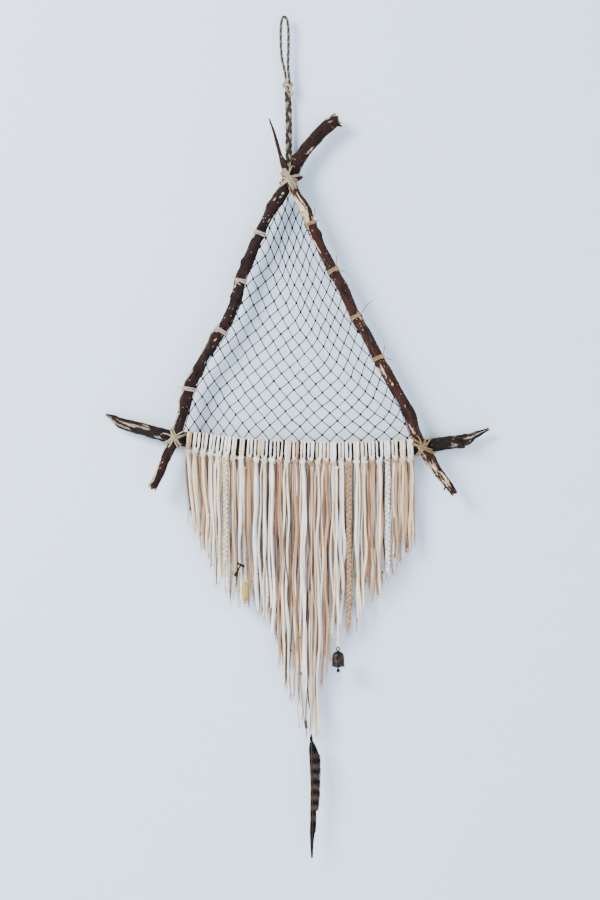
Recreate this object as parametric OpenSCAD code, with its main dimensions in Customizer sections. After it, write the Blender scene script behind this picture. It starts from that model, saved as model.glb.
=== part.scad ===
// Triangular driftwood wall hanging: three lashed sticks, a knotted net, a strip fringe and small pendants.
// The origin is where the nail carries the hanging loop. +Z is up and +Y points into the wall.

/* [Triangle] */
// Span of the base stick between the two corner lashings
base_span = 295; // [220:1:400]
// Height of the apex lashing over the left corner lashing
apex_rise = 307; // [240:1:420]
// Distance of the apex from the left corner, along X
apex_from_left = 136; // [100:1:190]
// How far the right corner hangs below the left one
base_droop = 12; // [0:1:30]

/* [Sticks] */
// Thickness of the base stick where the fringe hangs
base_d = 18; // [12:0.5:26]
// Thickness of the left side stick
left_d = 12.5; // [8:0.5:18]
// Thickness of the right side stick
right_d = 12; // [8:0.5:18]
// Gap left between two sticks where they cross
stick_gap = 0.3; // [0.2:0.1:1]

/* [Hanger] */
// Drop from the nail to the apex lashing
hanger_drop = 197; // [150:1:300]
// Thickness of the hanging loop's cord
loop_cord_d = 3; // [2:0.1:4]
// Thickness of the overhand knot under the loop
knot_d = 13; // [10:0.5:18]
// Width of the flat braid between the knot and the apex
braid_w = 8.6; // [6:0.2:12]
// Thickness of the flat braid
braid_t = 4.4; // [3:0.2:6]

/* [Lashings and ties] */
// Thickness of the lashing twine
twine_d = 1.6; // [1:0.1:2.5]
// Width of one lashing band
lashing_w = 4.8; // [3:0.1:8]
// How far a lashing reaches to each side of its crossing, as a share of the thicker stick's radius
lashing_reach = 1.25; // [1.1:0.05:1.5]
// Width of one net tie
tie_w = 2.4; // [1.5:0.1:4]

/* [Net] */
// Length of one side of a net mesh
net_bar = 12; // [9:0.5:25]
// Thickness of the net's thread
net_thread = 1; // [0.6:0.1:2]
// Thickness of the cord that edges the net
border_d = 1.6; // [1.2:0.1:3]

/* [Fringe] */
// Number of tassels along the base stick
tassel_count = 30; // [16:1:30]
// Distance of the first and the last tassel from the corner lashings
tassel_margin = 14; // [13:0.5:24]
// Gap between the strips of neighbouring tassels
tassel_gap = 0.7; // [0.4:0.1:3]
// Gap between the knots of neighbouring tassels
strip_knot_gap = 1.6; // [1:0.1:3]
// Bare wood between the loops of neighbouring tassels
loop_gap = 3.6; // [2:0.1:4.5]
// Thickness of the loops that go over the base stick
loop_t = 1.6; // [1:0.1:3]

/* [Bell] */
// Width of the bell at its mouth
bell_d = 15.6; // [12:0.2:22]
// Height of the bell's shell
bell_h = 18.5; // [14:0.5:26]
// Wall of the bell
bell_wall = 1; // [0.8:0.1:1.6]
// Thickness of the clapper's rod
clapper_rod_d = 1.6; // [1:0.1:2]

/* [Glass bead] */
// Width of the glass bead
bead_d = 7.8; // [6:0.1:10]
// Length of the glass bead
bead_h = 22; // [14:0.5:30]
// Bore through the glass bead
bead_bore_d = 2.2; // [1.8:0.1:3]

/* [Feather] */
// Length of the feather with its quill
feather_len = 150; // [100:1:200]
// Greatest width of the feather
feather_w = 15; // [10:0.5:24]

/* [Charm] */
// Width of the charm's crossbar
charm_bar = 8; // [6:0.5:12]
// Length of the charm's stem
charm_stem = 13; // [9:0.5:18]

/* [Hidden] */
$fn = 48;

// Clearance between pieces that lie against each other
clear = 0.3;

// Where the three sticks cross. Depth is set by what lies in front of what.
apex = [6, 0, -hanger_drop];
left_corner = apex - [apex_from_left, 0, apex_rise];
right_corner = left_corner + [base_span, 0, -base_droop];

// Shape of each stick: share of the way between its two lashings, sideways bow in mm, and
// thickness as a share of the stick's own. Below 0 and above 1 the stick runs past its lashing.
left_shape = [
    [-0.193, 0.9, 0.8], [-0.137, 0.4, 0.9], [-0.069, 0.7, 0.92], [0, 0, 0.92], [0.083, 3.6, 1],
    [0.137, 7.2, 1.08], [0.192, 9.9, 1.13], [0.242, 9.5, 0.95], [0.324, 6.4, 0.88], [0.397, 3, 1.12],
    [0.449, 0.8, 0.98], [0.537, 0.7, 0.93], [0.608, 5.8, 1], [0.676, 6.1, 1.03], [0.782, 7.5, 0.92],
    [0.855, 6.3, 0.88], [0.924, 3.4, 1.2], [1, 0, 1.08], [1.065, 0.2, 1.13], [1.113, -1.5, 1.17],
    [1.194, -9, 1.2], [1.245, -17, 1.25], [1.273, -21.9, 1.1]
];
right_shape = [
    [-0.186, 9.5, 0.6], [-0.139, 6.8, 0.83], [-0.075, 2.3, 0.95], [0, 0, 1], [0.074, 0.8, 1.05],
    [0.146, 3.5, 1.08], [0.246, 2, 1], [0.332, 0.6, 1], [0.418, 0.1, 1], [0.494, -2.2, 1],
    [0.598, -0.5, 1], [0.666, -1.9, 1.02], [0.752, -2.4, 1], [0.833, -1.6, 1], [0.886, 1, 1.05],
    [0.945, -0.8, 0.87], [1, 0, 0.83], [1.048, 1.8, 0.67], [1.09, 3.5, 0.37], [1.153, 8, 0.27],
    [1.212, 10.6, 0.17]
];
base_shape = [
    [-0.288, 24.5, 0.17], [-0.25, 19.5, 0.5], [-0.224, 15.3, 0.72], [-0.146, 9.2, 0.81],
    [-0.064, 4.2, 0.83], [0, 0, 0.87], [0.139, -4.3, 0.93], [0.247, -7.5, 1], [0.424, -8.9, 1],
    [0.668, -8, 1], [0.912, -2, 0.94], [1, 1, 0.89], [1.075, 5.9, 0.89], [1.176, 12.1, 0.8],
    [1.215, 18, 0.45], [1.268, 26.2, 0.2]
];

// Thickness of each stick at its crossings
left_r = left_d / 2;
right_r = right_d / 2;
base_r = base_d / 2;
left_corner_y = -(base_r * value_at(base_shape, 0, 2) + left_r * value_at(left_shape, 0, 2) + stick_gap);
right_corner_y = -(base_r * value_at(base_shape, 1, 2) + right_r * value_at(right_shape, 0, 2) + stick_gap);
left_apex_y = -left_r;
right_apex_y = left_apex_y - left_r * value_at(left_shape, 1, 2)
    - right_r * value_at(right_shape, 1, 2) - stick_gap;

// Each stick as [start, end, side of the bow, radius, shape]
left_line = [set_y(left_corner, left_corner_y), set_y(apex, left_apex_y), 1, left_r, left_shape];
right_line = [set_y(right_corner, right_corner_y), set_y(apex, right_apex_y), -1, right_r, right_shape];
base_line = [left_corner, right_corner, 1, base_r, base_shape];

// Shares of the side sticks' length at which the net is tied on
left_tie_shares = [0.18, 0.405, 0.605, 0.785];
right_tie_shares = [0.33, 0.49, 0.66, 0.835];

// The net hangs in one plane in front of the base stick
net_y = -12;
border_r = border_d / 2;
left_border_shares = [for (i = [0 : 13]) 0.1 + 0.063 * i];
right_border_shares = [for (i = [0 : 13]) 0.1 + 0.063 * i];
bottom_border_shares = [for (i = [0 : 7]) 0.085 + 0.12 * i];

tassel_colours = ["linen", "wheat", "gainsboro", "tan", "antiquewhite", "whitesmoke", "peru", "linen"];
// Length of the tassels below their knots, by the share of the way along the fringe
tassel_drops = [
    [0, 88], [0.07, 113], [0.13, 150], [0.2, 168], [0.32, 182], [0.36, 195], [0.45, 266],
    [0.49, 282], [0.51, 316], [0.59, 322], [0.61, 268], [0.65, 214], [0.69, 193], [0.76, 193],
    [0.8, 172], [0.86, 158], [0.92, 128], [1, 108]
];
tassel_pitch = (base_span - 2 * tassel_margin) / (tassel_count - 1);
strip_gap = 0.2;
strip_d = (tassel_pitch - tassel_gap - 2 * strip_gap) / 3;
strip_step = strip_d + strip_gap;
strip_stagger = 1.5;
strip_knot_d = tassel_pitch - strip_knot_gap;
loop_w = tassel_pitch - loop_gap;
// Strips of one tassel end at slightly different heights
strip_trims = [0, 9, 4];
// Tassels hang from the lower front of the base stick
hang_angle = 20;

// The hanging loop, from its left end in the knot over the nail to its right end
loop_points = [
    [2, 0, -75], [1, 0, -67], [-1.2, 0, -57], [-3.4, 0, -46], [-4.4, 0, -30], [-4.4, 0, -14],
    [-3.6, 0, -4.5], [-1.9, 0, 0.3], [0, 0, 1.5], [1.9, 0, 0.3], [3.6, 0, -4.5], [4.6, 0, -14],
    [4.8, 0, -30], [4.4, 0, -46], [4.2, 0, -57], [5, 0, -67], [6, 0, -75]
];
knot_centre = [4, 0, -75 - clear - knot_d / 2];

// Cords of the pendants, in front of the fringe
bell_cord_d = 3;
bell_cord_points = [
    [62, -11, -540], [62, -12, -565], [63, -12, -600], [62, -13, -640], [63, -15, -680],
    [64, -17, -720], [64, -18, -752]
];
charm_cord_d = 1.2;
charm_cord_points = [
    [-48, -10, -540], [-48, -10, -570], [-49, -10, -610], [-49, -10, -640], [-47, -10, -662]
];
feather_cord_d = 1.6;
feather_cord_points = [
    [33, -10.5, -540], [33, -10.5, -590], [32, -10.5, -650], [33, -10.5, -710], [32, -10.5, -770],
    [33, -10.5, -820], [32, -10.5, -857]
];
tube_bead_cord_d = 1.2;
tube_bead_cord_points = [[19, -10.5, -785], [20, -10.5, -806], [22, -10.5, -826], [24, -10.5, -841]];

bell_eye_d = 1.2;
bell_eye_r = 2;
bell_top = bell_cord_points[6] - [0, 0, 2 * bell_eye_r + bell_eye_d + clear];
clapper_ball_r = 2.2;
bead_top = [-47, -13.6, -676];
bead_cord_d = 1.2;
feather_top = feather_cord_points[6] - [0, 0, 0.5];
charm_top = [-50.4, -12.8, -652];
charm_lean = 26;

function value_at(shape, share, column) = lookup(share, [for (row = shape) [row[0], row[column]]]);
function set_y(p, y) = [p[0], y, p[2]];
function unit(v) = v / norm(v);
function pad(i) = i < 9 ? str("0", i + 1) : str(i + 1);
function tassel_name(i) = str("tassel_", pad(i));

// Sideways direction of a stick, square to it and to Y
function side_of(line) = let (d = line[1] - line[0]) unit([-d[2], 0, d[0]]) * line[2];
// Point on a stick's bowed axis at a share of the way between its lashings
function axis_at(line, share) =
    line[0] + (line[1] - line[0]) * share + side_of(line) * value_at(line[4], share, 1);
function radius_at(line, share) = line[3] * value_at(line[4], share, 2);
function heading_at(line, share) = unit(axis_at(line, share + 0.02) - axis_at(line, share - 0.02));

// Point of the net's edging beside a side stick, in the net's plane
function border_at(line, share) =
    let (c = axis_at(line, share), reach = radius_at(line, share) + clear + border_r)
    set_y(c, net_y) - side_of(line) * sqrt(max(reach * reach - pow(net_y - c[1], 2), 1));
// Point of the net's edging over the front of the base stick
function bottom_border_at(share) = set_y(axis_at(base_line, share), net_y) + [0, 0, base_r];

function left_edge() = [for (s = left_border_shares) border_at(left_line, s)];
function right_edge() = [for (s = right_border_shares) border_at(right_line, s)];
function bottom_edge() = [for (s = bottom_border_shares) bottom_border_at(s)];
function reversed(list) = [for (i = [len(list) - 1 : -1 : 0]) list[i]];
function net_outline() = concat(left_edge(), reversed(right_edge()), reversed(bottom_edge()));

// Centre of the knot of tassel i, which is also where the tassel swings
function tassel_share(i) = (tassel_margin + tassel_pitch * i) / base_span;
function knot_reach() = base_r + 2 * clear + loop_t + strip_knot_d / 2;
function knot_at(i) = axis_at(base_line, tassel_share(i))
    - [0, knot_reach() * sin(hang_angle), knot_reach() * cos(hang_angle)];

// A tube swept along points, with one radius or one for each point. Closed joins the end to the start.
module tube(points, radii, sides = 8, closed = false) {
    n = len(points);
    function at(i) = points[(i + n) % n];
    function ahead(i) = closed ? unit(at(i + 1) - at(i - 1))
        : unit(points[min(i + 1, n - 1)] - points[max(i - 1, 0)]);
    function across(i) = unit(cross(ahead(i), [0, 1, 0]));
    function radius(i) = is_list(radii) ? radii[i] : radii;
    function ring(i) = [for (j = [0 : sides - 1])
        let (a = 360 * j / sides, u = across(i), v = cross(ahead(i), u))
        points[i] + radius(i) * (cos(a) * u + sin(a) * v)];
    spans = closed ? n - 1 : n - 2;
    skin = [for (i = [0 : spans], j = [0 : sides - 1])
        let (a = i * sides, b = ((i + 1) % n) * sides, k = (j + 1) % sides)
        each [[a + j, b + j, b + k], [a + j, b + k, a + k]]];
    caps = closed ? [] : [
        [for (j = [0 : sides - 1]) j],
        [for (j = [sides - 1 : -1 : 0]) (n - 1) * sides + j]
    ];
    polyhedron([for (i = [0 : n - 1]) each ring(i)], concat(skin, caps), convexity = 6);
}

module stick(line) {
    tube([for (row = line[4]) axis_at(line, row[0])], [for (row = line[4]) line[3] * row[2]], 12);
}

// A flat outline with round corners
module round_rect(w, h, r) {
    square([w - 2 * r, h], center = true);
    square([w, h - 2 * r], center = true);
    for (x = [-1, 1], y = [-1, 1])
        translate([x * (w / 2 - r), y * (h / 2 - r)])
            circle(r);
}

// One band of twine round two crossed sticks: tilt is its direction in the plane of the wall
module lashing_band(centre, tilt, half_w, y_front, y_back) {
    depth = y_back - y_front + 2 * clear;
    width = 2 * half_w;
    corner = min(width, depth) * 0.35;
    translate(set_y(centre, (y_front + y_back) / 2))
        rotate([0, -tilt, 0])
            linear_extrude(height = lashing_w, center = true)
                difference() {
                    round_rect(width + 2 * twine_d, depth + 2 * twine_d, corner + twine_d);
                    round_rect(width, depth, corner);
                }
}

// A lashing of two crossing bands over sticks a and b, seen from the front
module lashing(line_a, share_a, line_b, share_b, y_back) {
    ca = axis_at(line_a, share_a);
    cb = axis_at(line_b, share_b);
    ra = radius_at(line_a, share_a);
    rb = radius_at(line_b, share_b);
    ha = heading_at(line_a, share_a);
    hb = heading_at(line_b, share_b);
    tilt_a = atan2(ha[2], ha[0]);
    tilt_b = atan2(hb[2], hb[0]);
    middle = (tilt_a + tilt_b) / 2;
    for (turn = [0, 90])
        lashing_band(ca, middle + turn, max(ra, rb) * lashing_reach + clear, cb[1] - rb, y_back);
}

// A tie round a side stick that also holds the net's edging
module net_tie(line, share) {
    c = axis_at(line, share);
    edge = border_at(line, share);
    h = heading_at(line, share);
    r = radius_at(line, share) + clear;
    arm_r = border_r + clear;
    inward = -side_of(line);
    offset_in = (edge - c) * inward;
    arm = [offset_in, edge[1] - c[1]];
    arm_angle = atan2(arm[1], arm[0]);
    tilt = atan2(h[2], h[0]);
    mirror_side = line[2];
    translate(c)
        rotate([0, -tilt, 0])
            rotate([0, 90, 0])
                rotate([0, 0, mirror_side * 90 - 90])
                    linear_extrude(height = tie_w, center = true)
                        rotate(mirror_side * arm_angle)
                            difference() {
                                union() {
                                    circle(r + twine_d);
                                    translate([0, -arm_r - twine_d])
                                        square([norm(arm) + arm_r + twine_d, 2 * (arm_r + twine_d)]);
                                }
                                circle(r);
                                translate([0, -arm_r])
                                    square([norm(arm) + arm_r, 2 * arm_r]);
                            }
}

module hanging_loop() {
    color("burlywood")
        tube(loop_points, loop_cord_d / 2);
}

module loop_knot() {
    color("burlywood")
        translate(knot_centre)
            sphere(d = knot_d);
}

// The braid drops from the knot to the back of the apex crossing
module hanger_braid() {
    top = knot_centre - [0, 0, knot_d / 2 + clear];
    back_y = left_apex_y + left_r * value_at(left_shape, 1, 2) + clear + braid_t / 2;
    foot = [apex[0], back_y, apex[2] - 6];
    run = foot - set_y(top, back_y);
    color("tan")
        translate(set_y(top, back_y))
            rotate([0, atan2(run[0], run[2]), 0])
                linear_extrude(height = norm(run))
                    round_rect(braid_w, braid_t, braid_t * 0.45);
}

module left_stick() {
    color("saddlebrown")
        stick(left_line);
}

module right_stick() {
    color("sienna")
        stick(right_line);
}

module base_stick() {
    color("darkslategray")
        stick(base_line);
}

module apex_lashing() {
    back_y = left_apex_y + left_r * value_at(left_shape, 1, 2) + clear + braid_t;
    color("wheat")
        lashing(left_line, 1, right_line, 1, back_y + clear);
}

module left_corner_lashing() {
    color("wheat")
        lashing(base_line, 0, left_line, 0, radius_at(base_line, 0));
}

module right_corner_lashing() {
    color("wheat")
        lashing(base_line, 1, right_line, 0, radius_at(base_line, 1));
}

module left_ties() {
    color("tan")
        for (s = left_tie_shares)
            net_tie(left_line, s);
}

module right_ties() {
    color("tan")
        for (s = right_tie_shares)
            net_tie(right_line, s);
}

// Two families of slanted threads, cut off at the edging
module net() {
    middle = (left_corner + right_corner + apex) / 3;
    reach = base_span + apex_rise;
    count = ceil(reach / 2 / net_bar);
    color("black")
        translate([0, net_y + net_thread / 2, 0])
            rotate([90, 0, 0])
                linear_extrude(height = net_thread)
                    intersection() {
                        polygon([for (p = net_outline()) [p[0], p[2]]]);
                        union()
                            for (slant = [-45, 45], i = [-count : count])
                                translate([middle[0], middle[2]])
                                    rotate(slant)
                                        translate([i * net_bar - net_thread / 2, -reach / 2])
                                            square([net_thread, reach]);
                    }
}

module net_border() {
    color("black")
        tube(net_outline(), border_r, 8, true);
}

// The tassels' loops over the base stick
module tassel_loops() {
    color("linen")
        for (i = [0 : tassel_count - 1]) {
            share = tassel_share(i);
            h = heading_at(base_line, share);
            r = radius_at(base_line, share) + clear;
            translate(axis_at(base_line, share))
                rotate([0, 90 - atan2(h[2], h[0]), 0])
                    difference() {
                        cylinder(r = r + loop_t, h = loop_w, center = true);
                        cylinder(r = r, h = loop_w + 1, center = true);
                    }
        }
}

// A knot with three strips below it
module tassel(i) {
    color(tassel_colours[i % len(tassel_colours)])
        translate(knot_at(i)) {
            sphere(d = strip_knot_d);
            for (k = [-1, 0, 1]) {
                stagger = strip_stagger * (k == 0 ? -1 : 1) * (i % 2 == 0 ? 1 : -1);
                drop = lookup(i / (tassel_count - 1), tassel_drops) - strip_trims[(k + 1 + i) % 3];
                translate([k * strip_step, stagger, -drop])
                    cylinder(d = strip_d, h = drop);
            }
        }
}

module bell_cord() {
    color("white")
        tube(bell_cord_points, bell_cord_d / 2);
}

// Eye on the bell's crown
module bell_loop() {
    color("dimgray")
        translate(bell_top + [0, 0, bell_eye_r + bell_eye_d / 2])
            rotate([90, 0, 0])
                rotate_extrude()
                    translate([bell_eye_r, 0])
                        circle(d = bell_eye_d, $fn = 24);
}

// A dome over a slightly widening skirt
module bell_body(r, h) {
    dome = r * 0.95;
    translate([0, 0, -dome])
        sphere(dome);
    translate([0, 0, -h])
        cylinder(r1 = r, r2 = dome, h = h - dome);
}

module bell_shell() {
    color("dimgray")
        translate(bell_top)
            difference() {
                bell_body(bell_d / 2, bell_h);
                translate([0, 0, -bell_wall])
                    bell_body(bell_d / 2 - bell_wall, bell_h);
            }
}

module bell_clapper() {
    color("black")
        translate(bell_top - [0, 0, bell_wall + clear]) {
            translate([0, 0, -bell_h - clapper_ball_r])
                cylinder(d = clapper_rod_d, h = bell_h + clapper_ball_r);
            translate([0, 0, -bell_h - clapper_ball_r - 1])
                sphere(clapper_ball_r);
        }
}

module charm_cord() {
    color("gray")
        tube(charm_cord_points, charm_cord_d / 2);
}

module charm_ring() {
    color("silver")
        translate(charm_top)
            rotate([90, 0, 0])
                rotate_extrude()
                    translate([2, 0])
                        circle(d = 0.9, $fn = 24);
}

// A T-shaped charm with a drop at the end of its stem
module charm() {
    color("black")
        translate(charm_top)
            rotate([0, charm_lean, 0])
                translate([0, 0, -3.6]) {
                    rotate([0, 90, 0])
                        cylinder(d = 2, h = charm_bar, center = true);
                    translate([0, 0, -charm_stem])
                        cylinder(d = 1.8, h = charm_stem);
                    translate([0, 0, -charm_stem])
                        sphere(2.6);
                }
}

// Thread through the bead, with a stop knot under it
module bead_cord() {
    color("gray")
        translate(bead_top) {
            translate([0, 0, -bead_h - 1])
                cylinder(d = bead_cord_d, h = bead_h + 13);
            translate([0, 0, -bead_h - 1.8])
                sphere(1.4);
        }
}

module glass_bead() {
    color("goldenrod")
        translate(bead_top - [0, 0, bead_h])
            difference() {
                cylinder(d = bead_d, h = bead_h);
                translate([0, 0, -1])
                    cylinder(d = bead_bore_d, h = bead_h + 2);
            }
}

module feather_cord() {
    color("tan")
        tube(feather_cord_points, feather_cord_d / 2);
}

// Quill that tapers to the feather's tip
module feather_shaft() {
    color("antiquewhite")
        translate(feather_top)
            mirror([0, 0, 1])
                cylinder(r1 = 1.1, r2 = 0.4, h = feather_len * 0.93);
}

// Thread wound round the top of the quill
module feather_binding() {
    color("black")
        translate(feather_top - [0, 0, 8])
            difference() {
                cylinder(r = 2, h = 6);
                translate([0, 0, -1])
                    cylinder(r = 1.25, h = 8);
            }
}

// Two vanes on either side of the quill
module feather_vane() {
    w = feather_w / 2;
    len = feather_len;
    gap = 1.2;
    color("dimgray")
        translate(feather_top)
            rotate([90, 0, 0])
                linear_extrude(height = 0.8, center = true)
                    for (side = [-1, 1])
                        polygon([
                            [side * gap, -8.5], [side * w * 0.6, -len * 0.09], [side * w, -len * 0.17],
                            [side * w * 0.85, -len * 0.35], [side * w * 0.66, -len * 0.55],
                            [side * w * 0.5, -len * 0.75], [side * w * 0.3, -len * 0.92],
                            [side * gap, -len]
                        ]);
}

module tube_bead_cord() {
    color("peru")
        tube(tube_bead_cord_points, tube_bead_cord_d / 2);
}

module tube_bead() {
    color("black")
        translate(tube_bead_cord_points[3] - [0, 0, 0.6])
            rotate([0, 158, 0])
                difference() {
                    cylinder(d = 4, h = 9);
                    translate([0, 0, -1])
                        cylinder(d = 1.4, h = 11);
                }
}

hanging_loop();
loop_knot();
hanger_braid();
left_stick();
right_stick();
base_stick();
apex_lashing();
left_corner_lashing();
right_corner_lashing();
left_ties();
right_ties();
net();
net_border();
tassel_loops();
for (i = [0 : tassel_count - 1])
    tassel(i);
bell_cord();
bell_loop();
bell_shell();
bell_clapper();
charm_cord();
charm_ring();
charm();
bead_cord();
glass_bead();
feather_cord();
feather_shaft();
feather_binding();
feather_vane();
tube_bead_cord();
tube_bead();
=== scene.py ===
import math
import random

import bpy
from mathutils import Matrix, Vector, noise


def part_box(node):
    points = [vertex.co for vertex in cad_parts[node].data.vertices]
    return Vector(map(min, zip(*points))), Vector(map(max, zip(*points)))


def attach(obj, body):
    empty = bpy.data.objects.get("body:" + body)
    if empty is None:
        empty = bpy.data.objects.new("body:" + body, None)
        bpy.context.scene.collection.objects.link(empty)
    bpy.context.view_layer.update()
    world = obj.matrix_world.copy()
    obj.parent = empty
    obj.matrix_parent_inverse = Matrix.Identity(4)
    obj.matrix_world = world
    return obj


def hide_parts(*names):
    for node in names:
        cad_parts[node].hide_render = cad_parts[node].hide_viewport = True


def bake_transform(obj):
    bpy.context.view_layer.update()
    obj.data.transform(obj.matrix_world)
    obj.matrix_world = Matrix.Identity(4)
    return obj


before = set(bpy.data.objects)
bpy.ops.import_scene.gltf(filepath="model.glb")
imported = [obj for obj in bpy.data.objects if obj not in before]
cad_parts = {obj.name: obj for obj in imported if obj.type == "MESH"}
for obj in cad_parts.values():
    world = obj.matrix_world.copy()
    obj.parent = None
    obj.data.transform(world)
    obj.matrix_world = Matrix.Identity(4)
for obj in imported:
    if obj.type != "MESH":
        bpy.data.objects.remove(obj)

bl_info = {
    "name": "Driftwood Wall Hanging",
    "version": (1, 0, 0),
    "blender": (4, 5, 0),
    "location": "3D View > Sidebar > Hanging",
    "description": "Bark, net, cotton fringe and pendants for a triangular stick wall hanging",
    "category": "Add Mesh",
}

MM = 0.001
FRONT = Vector((0, -1, 0))
BACK = Vector((0, 1, 0))
RIGHT = Vector((1, 0, 0))
UP = Vector((0, 0, 1))
DOWN = Vector((0, 0, -1))

# The surface of the wall, just behind the base stick's loops
WALL_Y = 11.8 * MM
# Each packed stick is a sweep of twelve-sided rings
RING_POINTS = 12
# Air between pieces that lie against each other
CLEAR = 0.3 * MM
# Points along the cord of a tight knot
KNOT_POINTS = 26
# The feather that its table of widths is drawn for
FEATHER_LENGTH = 150 * MM
FEATHER_WIDTH = 15 * MM
# Shares of the way along a short thread
QUARTERS = (0, 0.25, 0.5, 0.75, 1)

# Dyes and natural colours of the fringe, by name
COTTON = {
    "white": "#f8f2ea",
    "cool": "#f2efec",
    "cream": "#efdabb",
    "blush": "#f3e4d8",
    "sage": "#e2dcc2",
    "linen": "#dcc4a1",
    "tan": "#b98e63",
    "brown": "#8b6044",
    "umber": "#4c3225",
}
# What the thin strands between the others are picked from
FILLERS = ("white", "cream", "tan", "brown", "tan", "linen", "blush", "umber")

# Width and thickness of each kind of strand, in mm
FORMS = {
    "strip": (3.9, 1.9),
    "wide": (5.6, 2.1),
    "narrow": (2.7, 1.6),
    "yarn": (1.7, 1.7),
    "plait": (6.4, 4.2),
}

# Seeds of the first tassel's and the first loop's random draws
TASSEL_SEED = 100
LOOP_SEED = 300

# The strands of each tassel, from the left end of the fringe to the right. The first one leads.
TASSELS = (
    ("cream strip", "blush strip", "linen yarn", "linen narrow"),
    ("linen strip", "cream strip", "tan narrow", "blush yarn"),
    ("cream strip", "tan strip", "white narrow", "linen yarn"),
    ("blush strip", "cream strip", "sage yarn", "linen narrow"),
    ("cream strip", "sage narrow", "cool strip", "linen yarn"),
    ("cool strip", "cream plait", "linen strip", "white narrow"),
    ("linen strip", "tan strip", "cream yarn", "cream narrow"),
    ("white wide", "cool strip", "linen narrow", "cream yarn"),
    ("tan strip", "brown narrow", "tan yarn", "cream strip"),
    ("cool wide", "white strip", "blush narrow", "tan yarn"),
    ("cream narrow", "white strip", "linen yarn", "cool strip"),
    ("white strip", "cool strip", "sage yarn", "brown narrow"),
    ("tan strip", "brown narrow", "linen strip", "umber yarn"),
    ("sage strip", "umber narrow", "cream strip", "tan yarn"),
    ("tan strip", "white narrow", "brown strip", "umber yarn"),
    ("white wide", "cool strip", "cream narrow", "linen yarn"),
    ("tan strip", "umber strip", "sage narrow", "cream yarn"),
    ("cream strip", "linen strip", "tan narrow", "white yarn"),
    ("tan strip", "brown strip", "blush strip", "umber yarn"),
    ("linen strip", "blush narrow", "cream strip", "brown yarn"),
    ("cool wide", "white wide", "white narrow", "linen yarn"),
    ("tan narrow", "tan plait", "brown strip", "linen yarn"),
    ("white strip", "cream strip", "cool narrow", "sage yarn"),
    ("cream strip", "umber narrow", "tan strip", "white yarn"),
    ("tan strip", "brown strip", "cream narrow", "umber yarn"),
    ("blush strip", "linen strip", "tan strip", "tan yarn"),
    ("tan narrow", "white plait", "sage strip", "tan yarn"),
    ("tan strip", "blush strip", "brown strip", "tan yarn"),
    ("linen strip", "tan wide", "cream narrow", "brown yarn"),
    ("linen strip", "cream narrow", "tan strip", "brown yarn"),
)
# How far the plaits of these tassels run below their knots, in mm
PLAIT_DROPS = {5: 122, 21: 190, 26: 130}

# Routes of the cords, in mm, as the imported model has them
LOOP_ROUTE = (
    (2, 0, -75), (1, 0, -67), (-1.2, 0, -57), (-3.4, 0, -46), (-4.4, 0, -30), (-4.4, 0, -14),
    (-3.6, 0, -4.5), (-1.9, 0, 0.3), (0, 0, 1.5), (1.9, 0, 0.3), (3.6, 0, -4.5), (4.6, 0, -14),
    (4.8, 0, -30), (4.4, 0, -46), (4.2, 0, -57), (5, 0, -67), (6, 0, -75),
)
BELL_ROUTE = (
    (62, -11, -540), (62, -12, -565), (63, -12, -600), (62, -13, -640), (63, -15, -680),
    (64, -17, -720), (64, -18, -752),
)
CHARM_ROUTE = ((-48, -10, -540), (-48, -10, -570), (-49, -10, -610), (-49, -10, -640), (-47, -10, -662))
FEATHER_ROUTE = (
    (33, -10.5, -540), (33, -10.5, -590), (32, -10.5, -650), (33, -10.5, -710), (32, -10.5, -770),
    (33, -10.5, -820), (32, -10.5, -857),
)
TUBE_BEAD_ROUTE = ((19, -10.5, -785), (20, -10.5, -806), (22, -10.5, -826), (24, -10.5, -841))

# Shares of the side sticks' length at which the net is tied on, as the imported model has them
LEFT_TIES = (0.18, 0.405, 0.605, 0.785)
RIGHT_TIES = (0.33, 0.49, 0.66, 0.835)


# ---------------------------------------------------------------- lines and meshes

def mm(x, y, z):
    return Vector((x, y, z)) * MM


def linear(hex_colour):
    """Linear RGBA of an sRGB hex colour."""
    parts = [int(hex_colour[i:i + 2], 16) / 255 for i in (1, 3, 5)]
    return tuple(c / 12.92 if c <= 0.04045 else ((c + 0.055) / 1.055) ** 2.4 for c in parts) + (1.0,)


def dimmed(colour, share):
    """The colour with its light cut to a share."""
    return tuple(c * share for c in colour[:3]) + (1.0,)


def varied(rng, colour, spread):
    """The colour a little lighter or darker."""
    return dimmed(colour, 1 + rng.uniform(-spread, spread))


def length_of(line):
    return sum((b - a).length for a, b in zip(line, line[1:]))


def evenly(line, step):
    """Points about a step apart along a line."""
    total = length_of(line)
    count = max(2, round(total / step))
    out, walked, k = [line[0].copy()], 0.0, 1
    for a, b in zip(line, line[1:]):
        span = (b - a).length
        while k < count and span > 0 and walked + span >= total * k / count:
            out.append(a.lerp(b, (total * k / count - walked) / span))
            k += 1
        walked += span
    return out + [line[-1].copy()]


def smooth_line(points, step):
    """Points a step apart on a smooth curve through the given ones."""
    ends = [points[0] * 2 - points[1], *points, points[-1] * 2 - points[-2]]
    fine = []
    for a, b, c, d in zip(ends, ends[1:], ends[2:], ends[3:]):
        count = max(3, int((c - b).length / step * 2))
        for t in (k / count for k in range(count)):
            bend = (2 * a - 5 * b + 4 * c - d) * t * t + (3 * b - a - 3 * c + d) * t ** 3
            fine.append((2 * b + (c - a) * t + bend) / 2)
    return evenly(fine + [points[-1]], step)


def smoothstep(low, high, x):
    t = min(max((x - low) / (high - low), 0.0), 1.0)
    return t * t * (3 - 2 * t)


def at(value, t):
    """A value that is either fixed or a function of the share of the way along."""
    return value(t) if callable(value) else value


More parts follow.
